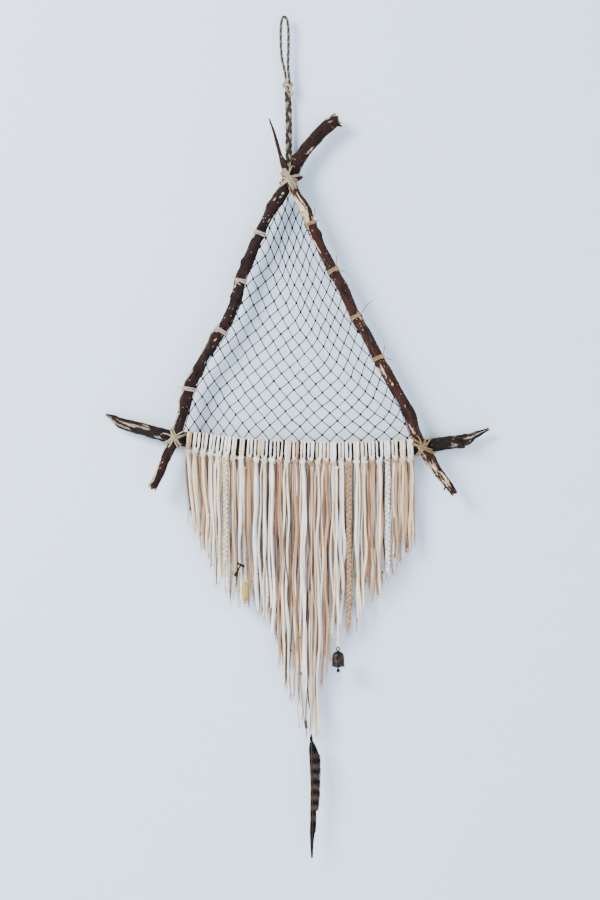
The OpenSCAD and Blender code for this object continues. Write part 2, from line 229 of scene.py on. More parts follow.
def headings(line, closed=False):
    n = len(line)
    if closed:
        return [(line[(i + 1) % n] - line[i - 1]).normalized() for i in range(n)]
    return [(line[min(i + 1, n - 1)] - line[max(i - 1, 0)]).normalized() for i in range(n)]


def carried(line, across, closed=False):
    """Heading, width direction and thickness direction at each point, carried along without spin."""
    side = across
    for head in headings(line, closed):
        side = (side - head * side.dot(head)).normalized()
        yield head, side, head.cross(side)


def helix(line, radius, turns, phase):
    """A line wound round another one."""
    last = len(line) - 1
    out = []
    for i, (point, (_, side, deep)) in enumerate(zip(line, carried(line, RIGHT))):
        a = phase + math.tau * turns * i / last
        out.append(point + side * radius * math.cos(a) + deep * radius * math.sin(a))
    return out


class Skein:
    """A mesh in the making: tubes and ribbons, each with a tint, and UVs of round and metres along."""

    def __init__(self):
        self.verts, self.faces, self.slots, self.uvs, self.tints = [], [], [], [], []

    def face(self, corners, uvs, slot):
        self.faces.append(corners)
        self.uvs += uvs
        self.slots.append(slot)

    def strand(self, line, width, tint, thick=None, sides=8, spin=0.0, across=RIGHT, slot=0,
               closed=False):
        """A tube along a line. Width, thick, spin and tint are fixed, or functions of the share along."""
        thick = width if thick is None else thick
        last = len(line) - 1
        walked = [0.0]
        for a, b in zip(line, line[1:]):
            walked.append(walked[-1] + (b - a).length)
        start = len(self.verts)
        for i, (point, (_, side, deep)) in enumerate(zip(line, carried(line, across, closed))):
            t = i / last
            turn, half_w, half_t = at(spin, t), at(width, t) / 2, at(thick, t) / 2
            u = side * math.cos(turn) + deep * math.sin(turn)
            v = deep * math.cos(turn) - side * math.sin(turn)
            for j in range(sides):
                a = math.tau * j / sides
                self.verts.append(point + u * half_w * math.cos(a) + v * half_t * math.sin(a))
            self.tints += [at(tint, t)] * sides
        for i in range(len(line) if closed else last):
            here, there = start + i * sides, start + (i + 1) % len(line) * sides
            low = walked[i]
            high = walked[i + 1] if i < last else low + (line[0] - line[-1]).length
            for j in range(sides):
                k = (j + 1) % sides
                u, v = j / sides, (j + 1) / sides
                uvs = [(u, low), (v, low), (v, high), (u, high)]
                self.face([here + j, here + k, there + k, there + j], uvs, slot)
        if not closed:
            self.face([start + j for j in reversed(range(sides))], [(0.5, 0.0)] * sides, slot)
            tip = start + last * sides
            self.face([tip + j for j in range(sides)], [(0.5, walked[-1])] * sides, slot)

    def piece(self, name, *materials):
        mesh = bpy.data.meshes.new(name)
        mesh.from_pydata([tuple(v) for v in self.verts], [], self.faces)
        mesh.polygons.foreach_set("material_index", self.slots)
        mesh.polygons.foreach_set("use_smooth", [True] * len(self.faces))
        mesh.uv_layers.new(name="UVMap").data.foreach_set("uv", [c for uv in self.uvs for c in uv])
        tint = mesh.color_attributes.new("tint", "FLOAT_COLOR", "POINT")
        tint.data.foreach_set("color", [c for colour in self.tints for c in colour])
        for material in materials:
            mesh.materials.append(material)
        obj = bpy.data.objects.new(name, mesh)
        bpy.context.collection.objects.link(obj)
        return obj


def knot(skein, centre, size, tint, rng):
    """An overhand knot pulled tight: three soft lobes wound into each other."""
    radius = size * 0.27
    lean = rng.uniform(-0.4, 0.4)
    turn = Matrix.Rotation(lean, 3, "Y") @ Matrix.Rotation(rng.uniform(-0.5, 0.5), 3, "X")
    line = []
    for k in range(KNOT_POINTS):
        a = math.tau * k / KNOT_POINTS
        across = math.sin(a) + 1.7 * math.sin(2 * a)
        up = math.cos(a) - 1.7 * math.cos(2 * a)
        lobe = Vector((across, -math.sin(3 * a) * 1.1, up))
        line.append(centre + turn @ (lobe * size * 0.155))
    skein.strand(line, radius * 1.45, tint, radius * 1.2, sides=7, across=FRONT, closed=True)


def fray(skein, tip, head, rng, tint, count, reach, spread=2.2 * MM, width=0.42 * MM):
    """Loose threads at a torn end."""
    for _ in range(count):
        root = tip - head * rng.uniform(1, 4) * MM + RIGHT * rng.uniform(-0.9, 0.9) * MM
        out = reach * rng.uniform(0.35, 1.0)
        side = RIGHT * rng.uniform(-1, 1) * spread + BACK * rng.uniform(-0.5, 0.5) * spread
        curl = RIGHT * rng.uniform(-1, 1) * spread * 0.8
        line = [root + head * out * t + side * t ** 1.5 + curl * math.sin(t * 3.0) for t in QUARTERS]
        skein.strand(line, lambda t: width * (1 - 0.55 * t), varied(rng, tint, 0.1), sides=4)


def plait(skein, line, width, thick, pitch, tints, rng, strand, sides=8):
    """A flat three-strand plait along a line, each strand with painted shade where it dives under the others. Strand
    is each one's share of the width.
    """
    total = length_of(line)
    line = evenly(line, pitch / 10)
    last = len(line) - 1
    a, b = width * (1 - strand) / 2, thick * 0.32
    for k, tint in enumerate(tints):
        phase = math.tau * k / 3 + rng.uniform(-0.1, 0.1)
        path = []
        for i, (point, (_, side, deep)) in enumerate(zip(line, carried(line, RIGHT))):
            f = phase + math.tau * total / pitch * i / last
            path.append(point + side * a * math.sin(f) + deep * b * math.sin(2 * f))

        def painted_under_shade(t, tint=tint, phase=phase):
            """Painted shade: darker where it dives under the other two."""
            above = math.sin(2 * (phase + math.tau * total / pitch * t))
            return dimmed(tint, 0.42 + 0.62 * smoothstep(-0.5, 0.8, above))
        skein.strand(path, width * strand, painted_under_shade, width * strand * 0.72, sides=sides)


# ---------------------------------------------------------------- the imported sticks

class Stick:
    """The axis and thickness of a packed stick, read from the rings of its node."""

    def __init__(self, node, along):
        found = {tuple(round(c, 5) for c in v.co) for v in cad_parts[node].data.vertices}
        points = [Vector(p) for p in found]
        if len(points) % RING_POINTS:
            raise RuntimeError(f"{node} isn't made of rings of {RING_POINTS} points")
        for _ in range(2):
            points.sort(key=lambda p: p.dot(along))
            rings = [points[i:i + RING_POINTS] for i in range(0, len(points), RING_POINTS)]
            centres = [sum(ring, Vector()) / RING_POINTS for ring in rings]
            along = (centres[-1] - centres[0]).normalized()
        self.node, self.along = node, along
        radii = [sum((p - c).length for p in ring) / RING_POINTS for ring, c in zip(rings, centres)]
        self.line = smooth_line(centres, 1.3 * MM)
        places = [c.dot(along) for c in centres]
        self.radii = [self.between(places, radii, p.dot(along)) for p in self.line]

    @staticmethod
    def between(places, values, place):
        for (a, b), (v, w) in zip(zip(places, places[1:]), zip(values, values[1:])):
            if place <= b:
                return v + (w - v) * smoothstep(a, b, place)
        return values[-1]

    def near(self, point):
        """The ring nearest to a point: its centre, radius, heading and number."""
        i = min(range(len(self.line)), key=lambda k: (self.line[k] - point).length)
        head = (self.line[min(i + 3, len(self.line) - 1)] - self.line[max(i - 3, 0)]).normalized()
        return self.line[i], self.radii[i], head, i


def middle(node):
    """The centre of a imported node's box."""
    low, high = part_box(node)
    return (low + high) / 2


LEFT = Stick("left_stick", UP)
RIGHT_STICK = Stick("right_stick", UP)
BASE = Stick("base_stick", RIGHT)
APEX = middle("apex_lashing")
LEFT_CORNER = middle("left_corner_lashing")
RIGHT_CORNER = middle("right_corner_lashing")


# ---------------------------------------------------------------- materials

def add_node(tree, kind, settings=None, links=None):
    """Adds a shader node. Settings are its properties or its inputs' values, and links its inputs' sources."""
    node = tree.nodes.new("ShaderNode" + kind)
    for key, value in (settings or {}).items():
        if key == "stops":
            while len(node.color_ramp.elements) < len(value):
                node.color_ramp.elements.new(0.5)
            for element, (place, colour) in zip(node.color_ramp.elements, value):
                element.position, element.color = place, colour
        elif isinstance(key, int) or key in node.inputs:
            node.inputs[key].default_value = value
        else:
            setattr(node, key, value)
    for key, source in (links or {}).items():
        tree.links.new(source, node.inputs[key])
    return node


MULTIPLY = {"data_type": "RGBA", "blend_type": "MULTIPLY", 0: 1.0}


def new_material(name, **sockets):
    """A material with its shader's constants set: (material, tree, shader)."""
    material = bpy.data.materials.new(name)
    material.use_nodes = True
    shader = material.node_tree.nodes["Principled BSDF"]
    for key, value in sockets.items():
        shader.inputs[key.replace("_", " ").title().replace("Ior", "IOR")].default_value = value
    return material, material.node_tree, shader


def wired(made, colour, normal, gloss=None):
    """The finished material: these outputs drive its shader's colour, normal and, where it varies, roughness."""
    material, tree, shader = made
    for key, source in (("Base Color", colour), ("Roughness", gloss), ("Normal", normal)):
        if source is not None:
            tree.links.new(source, shader.inputs[key])
    return material


def grey(value):
    return (value, value, value, 1.0)


def torn_cotton():
    """Cotton jersey torn into strips: matt, with fibre streaks about 0.8 mm wide along the strip."""
    made = new_material("torn_cotton_jersey", roughness=0.93, sheen_weight=0.25)
    tree = made[1]
    uv = add_node(tree, "UVMap", {"uv_map": "UVMap"}).outputs["UV"]
    tint = add_node(tree, "Attribute", {"attribute_name": "tint"}).outputs["Color"]
    # about 12 streaks round a strip, each some 14 mm long
    long_uv = add_node(tree, "Mapping", {"Scale": (12, 1 / 0.014, 1)}, {"Vector": uv})
    streaks = add_node(tree, "TexNoise", {"Scale": 1.0, "Detail": 5.0, "Roughness": 0.6},
                       {"Vector": long_uv.outputs["Vector"]}).outputs["Fac"]
    shade = add_node(tree, "ValToRGB",
                     {"stops": [(0.28, grey(0.66)), (0.5, grey(0.95)), (0.8, grey(1.06))]}, {"Fac": streaks})
    # blotches of dye and grime, some 25 mm long
    stain_uv = add_node(tree, "Mapping", {"Scale": (1.5, 1 / 0.025, 1)}, {"Vector": uv})
    stains = add_node(tree, "TexNoise", {"Scale": 1.0, "Detail": 2.0}, {"Vector": stain_uv.outputs["Vector"]})
    stain = add_node(tree, "ValToRGB", {"stops": [(0.3, linear("#e9dccb")), (0.6, grey(1.0))]},
                     {"Fac": stains.outputs["Fac"]})
    toned = add_node(tree, "Mix", MULTIPLY,
                     {6: tint, 7: shade.outputs["Color"]})
    colour = add_node(tree, "Mix", {**MULTIPLY, 0: 0.8},
                      {6: toned.outputs[2], 7: stain.outputs["Color"]})
    bump = add_node(tree, "Bump", {"Strength": 0.7, "Distance": 0.5 * MM}, {"Height": streaks})
    return wired(made, colour.outputs[2], bump.outputs["Normal"])


def spun(name, pitch, plies=2, depth=0.35 * MM, painted_groove_shade=0.45, **sockets):
    """Twisted yarn: plies that wind round it once every pitch, with painted shade in the grooves between them and
    stray fibres.
    """
    made = new_material(name, **sockets)
    tree = made[1]
    uv = add_node(tree, "UVMap", {"uv_map": "UVMap"}).outputs["UV"]
    tint = add_node(tree, "Attribute", {"attribute_name": "tint"}).outputs["Color"]
    phase = add_node(tree, "VectorMath",
                     {"operation": "DOT_PRODUCT", 1: (math.tau * plies, math.tau * plies / pitch, 0)}, {0: uv})
    wave = add_node(tree, "Math", {"operation": "SINE"}, {0: phase.outputs["Value"]}).outputs[0]
    fibre_uv = add_node(tree, "Mapping", {"Scale": (9, 900, 1), "Rotation": (0, 0, 0.5)}, {"Vector": uv})
    fibres = add_node(tree, "TexNoise", {"Scale": 1.0, "Detail": 3.0},
                      {"Vector": fibre_uv.outputs["Vector"]}).outputs["Fac"]
    height = add_node(tree, "Math", {"operation": "MULTIPLY_ADD", 1: 0.6}, {0: fibres, 2: wave}).outputs[0]
    # painted shade: the colour darkens in the grooves between the plies and is a little lighter on their crests, with
    # fibre streaks mixed in
    low = 1 - painted_groove_shade
    shade = add_node(tree, "MapRange", {"From Min": -1.0, "From Max": 1.4, "To Min": low, "To Max": 1.1},
                     {"Value": height})
    colour = add_node(tree, "Mix", MULTIPLY,
                      {6: tint, 7: shade.outputs["Result"]})
    bump = add_node(tree, "Bump", {"Strength": 0.8, "Distance": depth}, {"Height": height})
    return wired(made, colour.outputs[2], bump.outputs["Normal"])


def bark(name, lean, dark, warm, pale, wood):
    """Dry twig bark: dark and fissured, with painted shade in the fissures, warm and grey patches, pale pores, and
    pale bare wood where it peeled and, as a painted highlight, on the sides that face the light.
    Lean is how far the stick leans from upright, in degrees, so that its fibres run along it."""
    made = new_material(name, roughness=0.85, specular_ior_level=0.2)
    tree = made[1]
    place = add_node(tree, "TexCoord").outputs["Object"]
    peel = add_node(tree, "Attribute", {"attribute_name": "peel"}).outputs["Fac"]
    along = (0, math.radians(lean), 0)
    # patches about 8 mm wide and 25 mm long
    wide = add_node(tree, "Mapping", {"vector_type": "TEXTURE", "Rotation": along, "Scale": (1, 1, 3)},
                    {"Vector": place})
    patches = add_node(tree, "TexNoise", {"Scale": 95.0, "Detail": 4.0, "Roughness": 0.62},
                       {"Vector": wide.outputs["Vector"]}).outputs["Fac"]
    skin = add_node(tree, "ValToRGB",
                    {"stops": [(0.32, linear(dark)), (0.5, linear(warm)), (0.6, linear(dark)), (0.76, linear(pale))]},
                    {"Fac": patches})
    # fissures about 1 mm wide and 12 mm long
    fine = add_node(tree, "Mapping", {"vector_type": "TEXTURE", "Rotation": along, "Scale": (1, 1, 10)},
                    {"Vector": place})
    fissures = add_node(tree, "TexNoise", {"Scale": 800.0, "Detail": 3.0, "Roughness": 0.55},
                        {"Vector": fine.outputs["Vector"]}).outputs["Fac"]
    # painted shade: the colour is darkened in the fissures, where the bump is low, and lightened on the ridges
    # between them
    fissure_shade = add_node(tree, "ValToRGB", {"stops": [(0.34, grey(0.35)), (0.52, grey(1.0)), (0.75, grey(1.35))]},
                      {"Fac": fissures})
    fissure_shaded = add_node(tree, "Mix", {**MULTIPLY, 0: 0.85},
                       {6: skin.outputs["Color"], 7: fissure_shade.outputs["Color"]})
    # pores about 1 mm across in some of the 5 mm cells
    pores = add_node(tree, "TexVoronoi", {"Scale": 200.0}, {"Vector": place})
    pore = add_node(tree, "MapRange", {"From Min": 0.19, "From Max": 0.08, "To Min": 0.0, "To Max": 0.8},
                    {"Value": pores.outputs["Distance"]})
    some = add_node(tree, "MapRange", {"From Min": 0.5, "From Max": 0.56}, {"Value": fissures})
    pocked = add_node(tree, "Math", {"operation": "MULTIPLY"},
                      {0: pore.outputs["Result"], 1: some.outputs["Result"]}).outputs[0]
    pored = add_node(tree, "Mix", {"data_type": "RGBA", 7: linear("#c2a68c")},
                     {0: pocked, 6: fissure_shaded.outputs[2]})
    # bare wood, with dark checks along the grain: peeled bark, and on the sides that face the light a painted
    # highlight
    grain = add_node(tree, "ValToRGB", {"stops": [(0.34, linear("#4b3626")), (0.52, linear(wood))]},
                     {"Fac": fissures})
    bare = add_node(tree, "Mix", {"data_type": "RGBA"},
                    {0: peel, 6: pored.outputs[2], 7: grain.outputs["Color"]})
    cracks = add_node(tree, "Math", {"operation": "MULTIPLY_ADD", 1: 0.7}, {0: patches, 2: fissures})
    bump = add_node(tree, "Bump", {"Strength": 0.9, "Distance": 0.7 * MM}, {"Height": cracks.outputs[0]})
    return wired(made, bare.outputs[2], bump.outputs["Normal"])


def aged_metal(name, dark, light, grain, relief, **sockets):
    """Cast or forged metal gone dull: stained, pitted, and brighter where it is rubbed."""
    made = new_material(name, **sockets)
    tree = made[1]
    place = add_node(tree, "TexCoord").outputs["Object"]
    stains = add_node(tree, "TexNoise", {"Scale": grain, "Detail": 5.0, "Roughness": 0.65}, {"Vector": place})
    colour = add_node(tree, "ValToRGB", {"stops": [(0.35, linear(dark)), (0.72, linear(light))]},
                      {"Fac": stains.outputs["Fac"]})
    gloss = add_node(tree, "MapRange", {"To Min": 0.62, "To Max": 0.26}, {"Value": stains.outputs["Fac"]})
    bump = add_node(tree, "Bump", {"Strength": 0.6, "Distance": relief}, {"Height": stains.outputs["Fac"]})
    return wired(made, colour.outputs["Color"], bump.outputs["Normal"], gloss.outputs["Result"])


def pressed_glass():
    """Pressed amber glass: clear yellow with cloudy seeds, darker towards its ends, where the bead's tint holds
    painted shade.
    """
    made = new_material("pressed_amber_glass", roughness=0.12, transmission_weight=0.55, ior=1.5)
    tree = made[1]
    place = add_node(tree, "TexCoord").outputs["Object"]
    tint = add_node(tree, "Attribute", {"attribute_name": "tint"}).outputs["Color"]
    # cloud swirls about 3 mm across
    clouds = add_node(tree, "TexNoise", {"Scale": 330.0, "Detail": 3.0}, {"Vector": place}).outputs["Fac"]
    shade = add_node(tree, "MapRange", {"To Min": 0.72, "To Max": 1.15}, {"Value": clouds})
    colour = add_node(tree, "Mix", MULTIPLY,
                      {6: tint, 7: shade.outputs["Result"]})
    bump = add_node(tree, "Bump", {"Strength": 0.2, "Distance": 0.2 * MM}, {"Height": clouds})
    return wired(made, colour.outputs[2], bump.outputs["Normal"])


def glazed_black():
    """Black glazed ceramic: glossy, with small pits in the glaze."""
    made = new_material("black_glazed_ceramic", coat_weight=0.5, coat_roughness=0.08, ior=1.5)
    tree = made[1]
    place = add_node(tree, "TexCoord").outputs["Object"]
    pits = add_node(tree, "TexNoise", {"Scale": 900.0, "Detail": 2.0}, {"Vector": place}).outputs["Fac"]
    colour = add_node(tree, "ValToRGB", {"stops": [(0.3, linear("#080605")), (0.8, linear("#1c1613"))]},
                      {"Fac": pits})
    gloss = add_node(tree, "MapRange", {"To Min": 0.18, "To Max": 0.45}, {"Value": pits})
    bump = add_node(tree, "Bump", {"Strength": 0.3, "Distance": 0.15 * MM}, {"Height": pits})
    return wired(made, colour.outputs["Color"], bump.outputs["Normal"], gloss.outputs["Result"])


def keratin():
    """A feather's quill and barbs: matt keratin in the tint of its bars, streaked along each barb."""
    made = new_material("barred_feather_keratin", roughness=0.8, specular_ior_level=0.15)
    tree = made[1]
    uv = add_node(tree, "UVMap", {"uv_map": "UVMap"}).outputs["UV"]
    tint = add_node(tree, "Attribute", {"attribute_name": "tint"}).outputs["Color"]
    # hairs about 0.3 mm apart along a barb
    hair_uv = add_node(tree, "Mapping", {"Scale": (5, 400, 1)}, {"Vector": uv})
    hairs = add_node(tree, "TexNoise", {"Scale": 1.0, "Detail": 3.0}, {"Vector": hair_uv.outputs["Vector"]})
    shade = add_node(tree, "MapRange", {"From Min": 0.25, "From Max": 0.75, "To Min": 0.7, "To Max": 1.2},
                     {"Value": hairs.outputs["Fac"]})
    colour = add_node(tree, "Mix", MULTIPLY,
                      {6: tint, 7: shade.outputs["Result"]})
    bump = add_node(tree, "Bump", {"Strength": 0.5, "Distance": 0.2 * MM}, {"Height": hairs.outputs["Fac"]})
    return wired(made, colour.outputs[2], bump.outputs["Normal"])


def wall_paint(colour):
    """Matt emulsion on plaster, and nothing at all from behind, so the back of the hanging can be seen."""
    made = new_material("matt_wall_paint", roughness=0.95)
    tree = made[1]
    place = add_node(tree, "TexCoord").outputs["Object"]
    orange_peel = add_node(tree, "TexNoise", {"Scale": 260.0, "Detail": 2.0}, {"Vector": place}).outputs["Fac"]
    shade = add_node(tree, "Mix", {"data_type": "RGBA", 6: colour, 7: tuple(c * 0.985 for c in colour)},
                     {0: orange_peel})
    bump = add_node(tree, "Bump", {"Strength": 0.06, "Distance": 0.3 * MM}, {"Height": orange_peel})
    behind = add_node(tree, "NewGeometry").outputs["Backfacing"]
    clear = add_node(tree, "BsdfTransparent").outputs["BSDF"]
    seen = add_node(tree, "MixShader", {}, {0: behind, 1: made[2].outputs["BSDF"], 2: clear})
    tree.links.new(seen.outputs["Shader"], tree.nodes["Material Output"].inputs["Surface"])
    return wired(made, shade.outputs[2], bump.outputs["Normal"])


_materials = {}


def material(name):
    """The named material, made the first time it is asked for."""
    colours = bpy.context.scene.hanging_colours
    makers = {
        "strip": torn_cotton,
        "yarn": lambda: spun("two_ply_cotton_yarn", 4.2 * MM, roughness=0.9, sheen_weight=0.2),
        "jute": lambda: spun("two_ply_jute_twine", 5.0 * MM, painted_groove_shade=0.5, roughness=0.85),
        "net": lambda: spun("waxed_black_net_twine", 2.2 * MM, depth=0.15 * MM, roughness=0.8,
                            specular_ior_level=0.15),
        "left_bark": lambda: bark("left_stick_bark", 23.9, "#0d0705", "#2a140e", "#4a352a", "#cdb596"),
        "right_bark": lambda: bark("right_stick_bark", -26.5, "#120a07", "#3a1c13", "#6a4c3c", "#d8bd98"),
        "base_bark": lambda: bark("base_stick_bark", 92.3, "#0b0705", "#20140e", "#55473c", "#a59582"),
        "bronze": lambda: aged_metal("patinated_cast_bronze", "#0f0b08", "#4d4034", 260.0, 0.3 * MM, metallic=0.85),
        "iron": lambda: aged_metal("blackened_cast_iron", "#0a0705", "#2c2019", 420.0, 0.25 * MM, metallic=0.7),
        "silver": lambda: aged_metal("drawn_silver_wire", "#9c9a96", "#e0deda", 700.0, 0.05 * MM, metallic=1.0),
        "glass": pressed_glass,
        "ceramic": glazed_black,
        "keratin": keratin,
        "wall": lambda: wall_paint(tuple(colours.wall) + (1.0,)),
    }
    if name not in _materials:
        _materials[name] = makers[name]()
    return _materials[name]


# ---------------------------------------------------------------- settings

def distance(name, description, default):
    return bpy.props.FloatProperty(name=name, description=description, default=default,
                                   subtype="DISTANCE", unit="LENGTH")


def shade_of(name, description, hex_colour):
    return bpy.props.FloatVectorProperty(name=name, description=description, default=linear(hex_colour)[:3],
                                         size=3, min=0.0, max=1.0, subtype="COLOR")


class HangingSizes(bpy.types.PropertyGroup):
    """Sizes of the hanging's twine, thread and strips"""
    net_bar: distance("Net bar", "Length of one side of a net mesh", 12.2 * MM)
    net_thread: distance("Net thread", "Thickness of the net's thread", 1.2 * MM)
    net_knot: distance("Net knot", "Thickness of the knots of the net", 2.7 * MM)
    twine: distance("Twine", "Thickness of the lashing twine", 1.7 * MM)
    tie_twine: distance("Tie twine", "Thickness of the twine of the net's ties", 1.3 * MM)
    loop_cord: distance("Loop cord", "Thickness of the hanging loop's cord", 3 * MM)
    braid: distance("Braid", "Width of the hanger's braid", 8.6 * MM)
    feather_length: distance("Feather length", "Length of the feather with its quill", FEATHER_LENGTH)
    feather_width: distance("Feather width", "Greatest width of the feather", FEATHER_WIDTH)
    view_distance: distance("View distance", "Distance of the camera from the wall hanging", 1.8)


class HangingColours(bpy.types.PropertyGroup):
    """Colours of the hanging and of the wall behind it"""
    jute: shade_of("Jute", "Light turns of the lashing twine", "#c6b28f")
    jute_dark: shade_of("Dark jute", "Dark strands of the hanger", "#33261a")
    net: shade_of("Net", "Net thread", "#030304")
    amber: shade_of("Amber", "Glass bead", "#e4c456")
    feather_dark: shade_of("Dark bars", "Dark bars of the feather", "#070302")
    feather_light: shade_of("Light bars", "Light bars of the feather", "#4d3c30")
    wall: shade_of("Wall", "Wall paint", "#deebf9")


# ---------------------------------------------------------------- shared steps

def sizes():
    return bpy.context.scene.hanging_sizes


def hue(name):
    """One of the hanging's own colours, as RGBA."""
    return tuple(getattr(bpy.context.scene.hanging_colours, name)) + (1.0,)


def dye(name):
    return linear(COTTON[name])


def mixed(a, b):
    return tuple((p + q) / 2 for p, q in zip(a, b))


def settle(obj, body, slot, *nodes):
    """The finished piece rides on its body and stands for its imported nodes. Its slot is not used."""
    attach(obj, body)
    if nodes:
        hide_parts(*nodes)
    return obj


def route(points, step):
    return smooth_line([mm(*p) for p in points], step)


def two_ply(skein, line, width, tints, pitch, sides=7, ply=0.63):
    """Two plies twisted round each other, one of each tint. Ply is their share of the width."""
    turns = length_of(line) / pitch
    for k, tint in enumerate(tints):
        skein.strand(helix(line, width * 0.22, turns, math.pi * k), width * ply, tint, sides=sides)


def weave(skein, name, finish, body, slot, *nodes):
    """Makes the skein a piece of one material, and settles it."""
    return settle(skein.piece(name, material(finish)), body, slot, *nodes)


def only(obj):
    """Selects one object and makes it active."""
    bpy.ops.object.select_all(action="DESELECT")
    obj.select_set(True)
    bpy.context.view_layer.objects.active = obj


def apply_modifier(obj, kind, **settings):
    modifier = obj.modifiers.new(kind.title(), kind)
    for key, value in settings.items():
        setattr(modifier, key, value)
    only(obj)
    bpy.ops.object.modifier_apply(modifier=modifier.name)


def place_done(obj, *materials):
    """Puts the object's place into its mesh, and gives it its materials."""
    only(obj)
    bpy.ops.object.transform_apply(location=True, rotation=True, scale=True)
    for made in materials:
        obj.data.materials.append(made)
    return obj


def paint(obj, tint_at):
    """Gives each vertex a tint by its place."""
    tint = obj.data.color_attributes.new("tint", "FLOAT_COLOR", "POINT")
    tint.data.foreach_set("color", [c for v in obj.data.vertices for c in tint_at(v.co)])


def outline_up(profile, sides):
    """Adds a circle and draws it out through a profile of (radius, height), by extruding and scaling its rim."""
    bpy.ops.object.select_all(action="DESELECT")
    radius, height = profile[0]
    bpy.ops.mesh.primitive_circle_add(vertices=sides, radius=radius, location=(0, 0, height))
    obj = bpy.context.active_object
    bpy.ops.object.transform_apply(location=True, rotation=False, scale=False)
    bpy.ops.object.mode_set(mode="EDIT")
    bpy.ops.mesh.select_all(action="SELECT")
    for (r, z), (next_r, next_z) in zip(profile, profile[1:]):
        bpy.ops.mesh.extrude_region_move(TRANSFORM_OT_translate={"value": (0, 0, next_z - z)})
        share = next_r / r
        bpy.ops.transform.resize(value=(share, share, 1), center_override=(0, 0, next_z))
    bpy.ops.object.mode_set(mode="OBJECT")
    return obj


def outward(obj):
    """Merges doubles and turns every face outwards."""
    only(obj)
    bpy.ops.object.mode_set(mode="EDIT")
    bpy.ops.mesh.select_all(action="SELECT")
    bpy.ops.mesh.remove_doubles(threshold=0.02 * MM)
    bpy.ops.mesh.normals_make_consistent(inside=False)
    bpy.ops.object.mode_set(mode="OBJECT")


# ---------------------------------------------------------------- camera

class HANGING_OT_camera(bpy.types.Operator):
    """Set the camera straight in front of the hanging, at the height of its middle"""
    bl_idname = "hanging.camera"
    bl_label = "Camera"

    def execute(self, context):
        data = bpy.data.cameras.new("front_camera")
        data.lens = 60
        data.sensor_fit = "VERTICAL"
        data.sensor_height = 36
        camera = bpy.data.objects.new("front_camera", data)
        # the loop's top is 22 mm under the top edge of the view, and the nail 19 mm left of its middle
        camera.location = (18.6 * MM, -sizes().view_distance, -518.4 * MM)
        camera.rotation_euler = (math.radians(90), 0, 0)
        bpy.context.collection.objects.link(camera)
        context.scene.camera = camera
        return {"FINISHED"}


# ---------------------------------------------------------------- hanger

class HANGING_OT_hanger(bpy.types.Operator):
    """Make the hanging loop, the knot under it and the braid down to the sticks"""
    bl_idname = "hanging.hanger"
    bl_label = "Loop, knot and braid"

    def execute(self, context):
        rng = random.Random(3)
        light, dark = hue("jute"), hue("jute_dark")
        tan = mixed(light, dark)
        line = route(LOOP_ROUTE, 0.8 * MM)
        skein = Skein()
        two_ply(skein, line, sizes().loop_cord, (varied(rng, dark, 0.2), mixed(tan, dark)), 9 * MM, ply=0.82)
        loop = weave(skein, "twisted_loop", "jute", "hanger", "jute_twine", "hanging_loop")

        low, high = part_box("loop_knot")
        centre, wide = (low + high) / 2, high.x - low.x
        skein = Skein()
        knot(skein, centre, wide * 0.92, tan, rng)
        knot(skein, centre + mm(0.8, -0.8, -1.2), wide * 0.66, light, rng)
        knot(skein, centre + mm(0.4, 1.0, 0.8), wide * 0.8, dark, rng)
        # the ends of the loop run through the knot, and one is cut short beside it
        for x, tint in ((-1.8, light), (1.9, dark)):
            places = (mm(x, 0, 8), mm(x * 0.6, -1, 2), mm(0, 0, -7))
            skein.strand(smooth_line([centre + place for place in places], 1 * MM), 3.0 * MM, tint)
        places = (mm(2, -2, -3), mm(4.5, -2.5, -7), mm(5.2, -1.5, -12))
        cut_end = smooth_line([centre + place for place in places], 1 * MM)
        skein.strand(cut_end, 2.2 * MM, light, sides=7)
        fray(skein, cut_end[-1], DOWN, rng, light, 5, 5 * MM, 1.5 * MM, width=0.35 * MM)
        weave(skein, "overhand_knot", "jute", "frame", "jute_twine", "loop_knot")

        low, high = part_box("hanger_braid")
        top = Vector((centre.x, (low.y + high.y) / 2, high.z + 1 * MM))
        foot = Vector((APEX.x, (low.y + high.y) / 2, low.z))
        bows = (top.lerp(foot, 0.3) + mm(0.5, 0, 0), top.lerp(foot, 0.7) - mm(0.4, 0, 0))
        line = smooth_line([top, *bows, foot], 1 * MM)
        skein = Skein()
        plait(skein, line, sizes().braid, high.y - low.y, 25 * MM, (tan, dark, varied(rng, dark, 0.2)), rng,
              0.43, sides=9)
        braid = weave(skein, "flat_braid", "jute", "frame", "jute_twine", "hanger_braid")
        return {"FINISHED"}


# ---------------------------------------------------------------- cords of the pendants

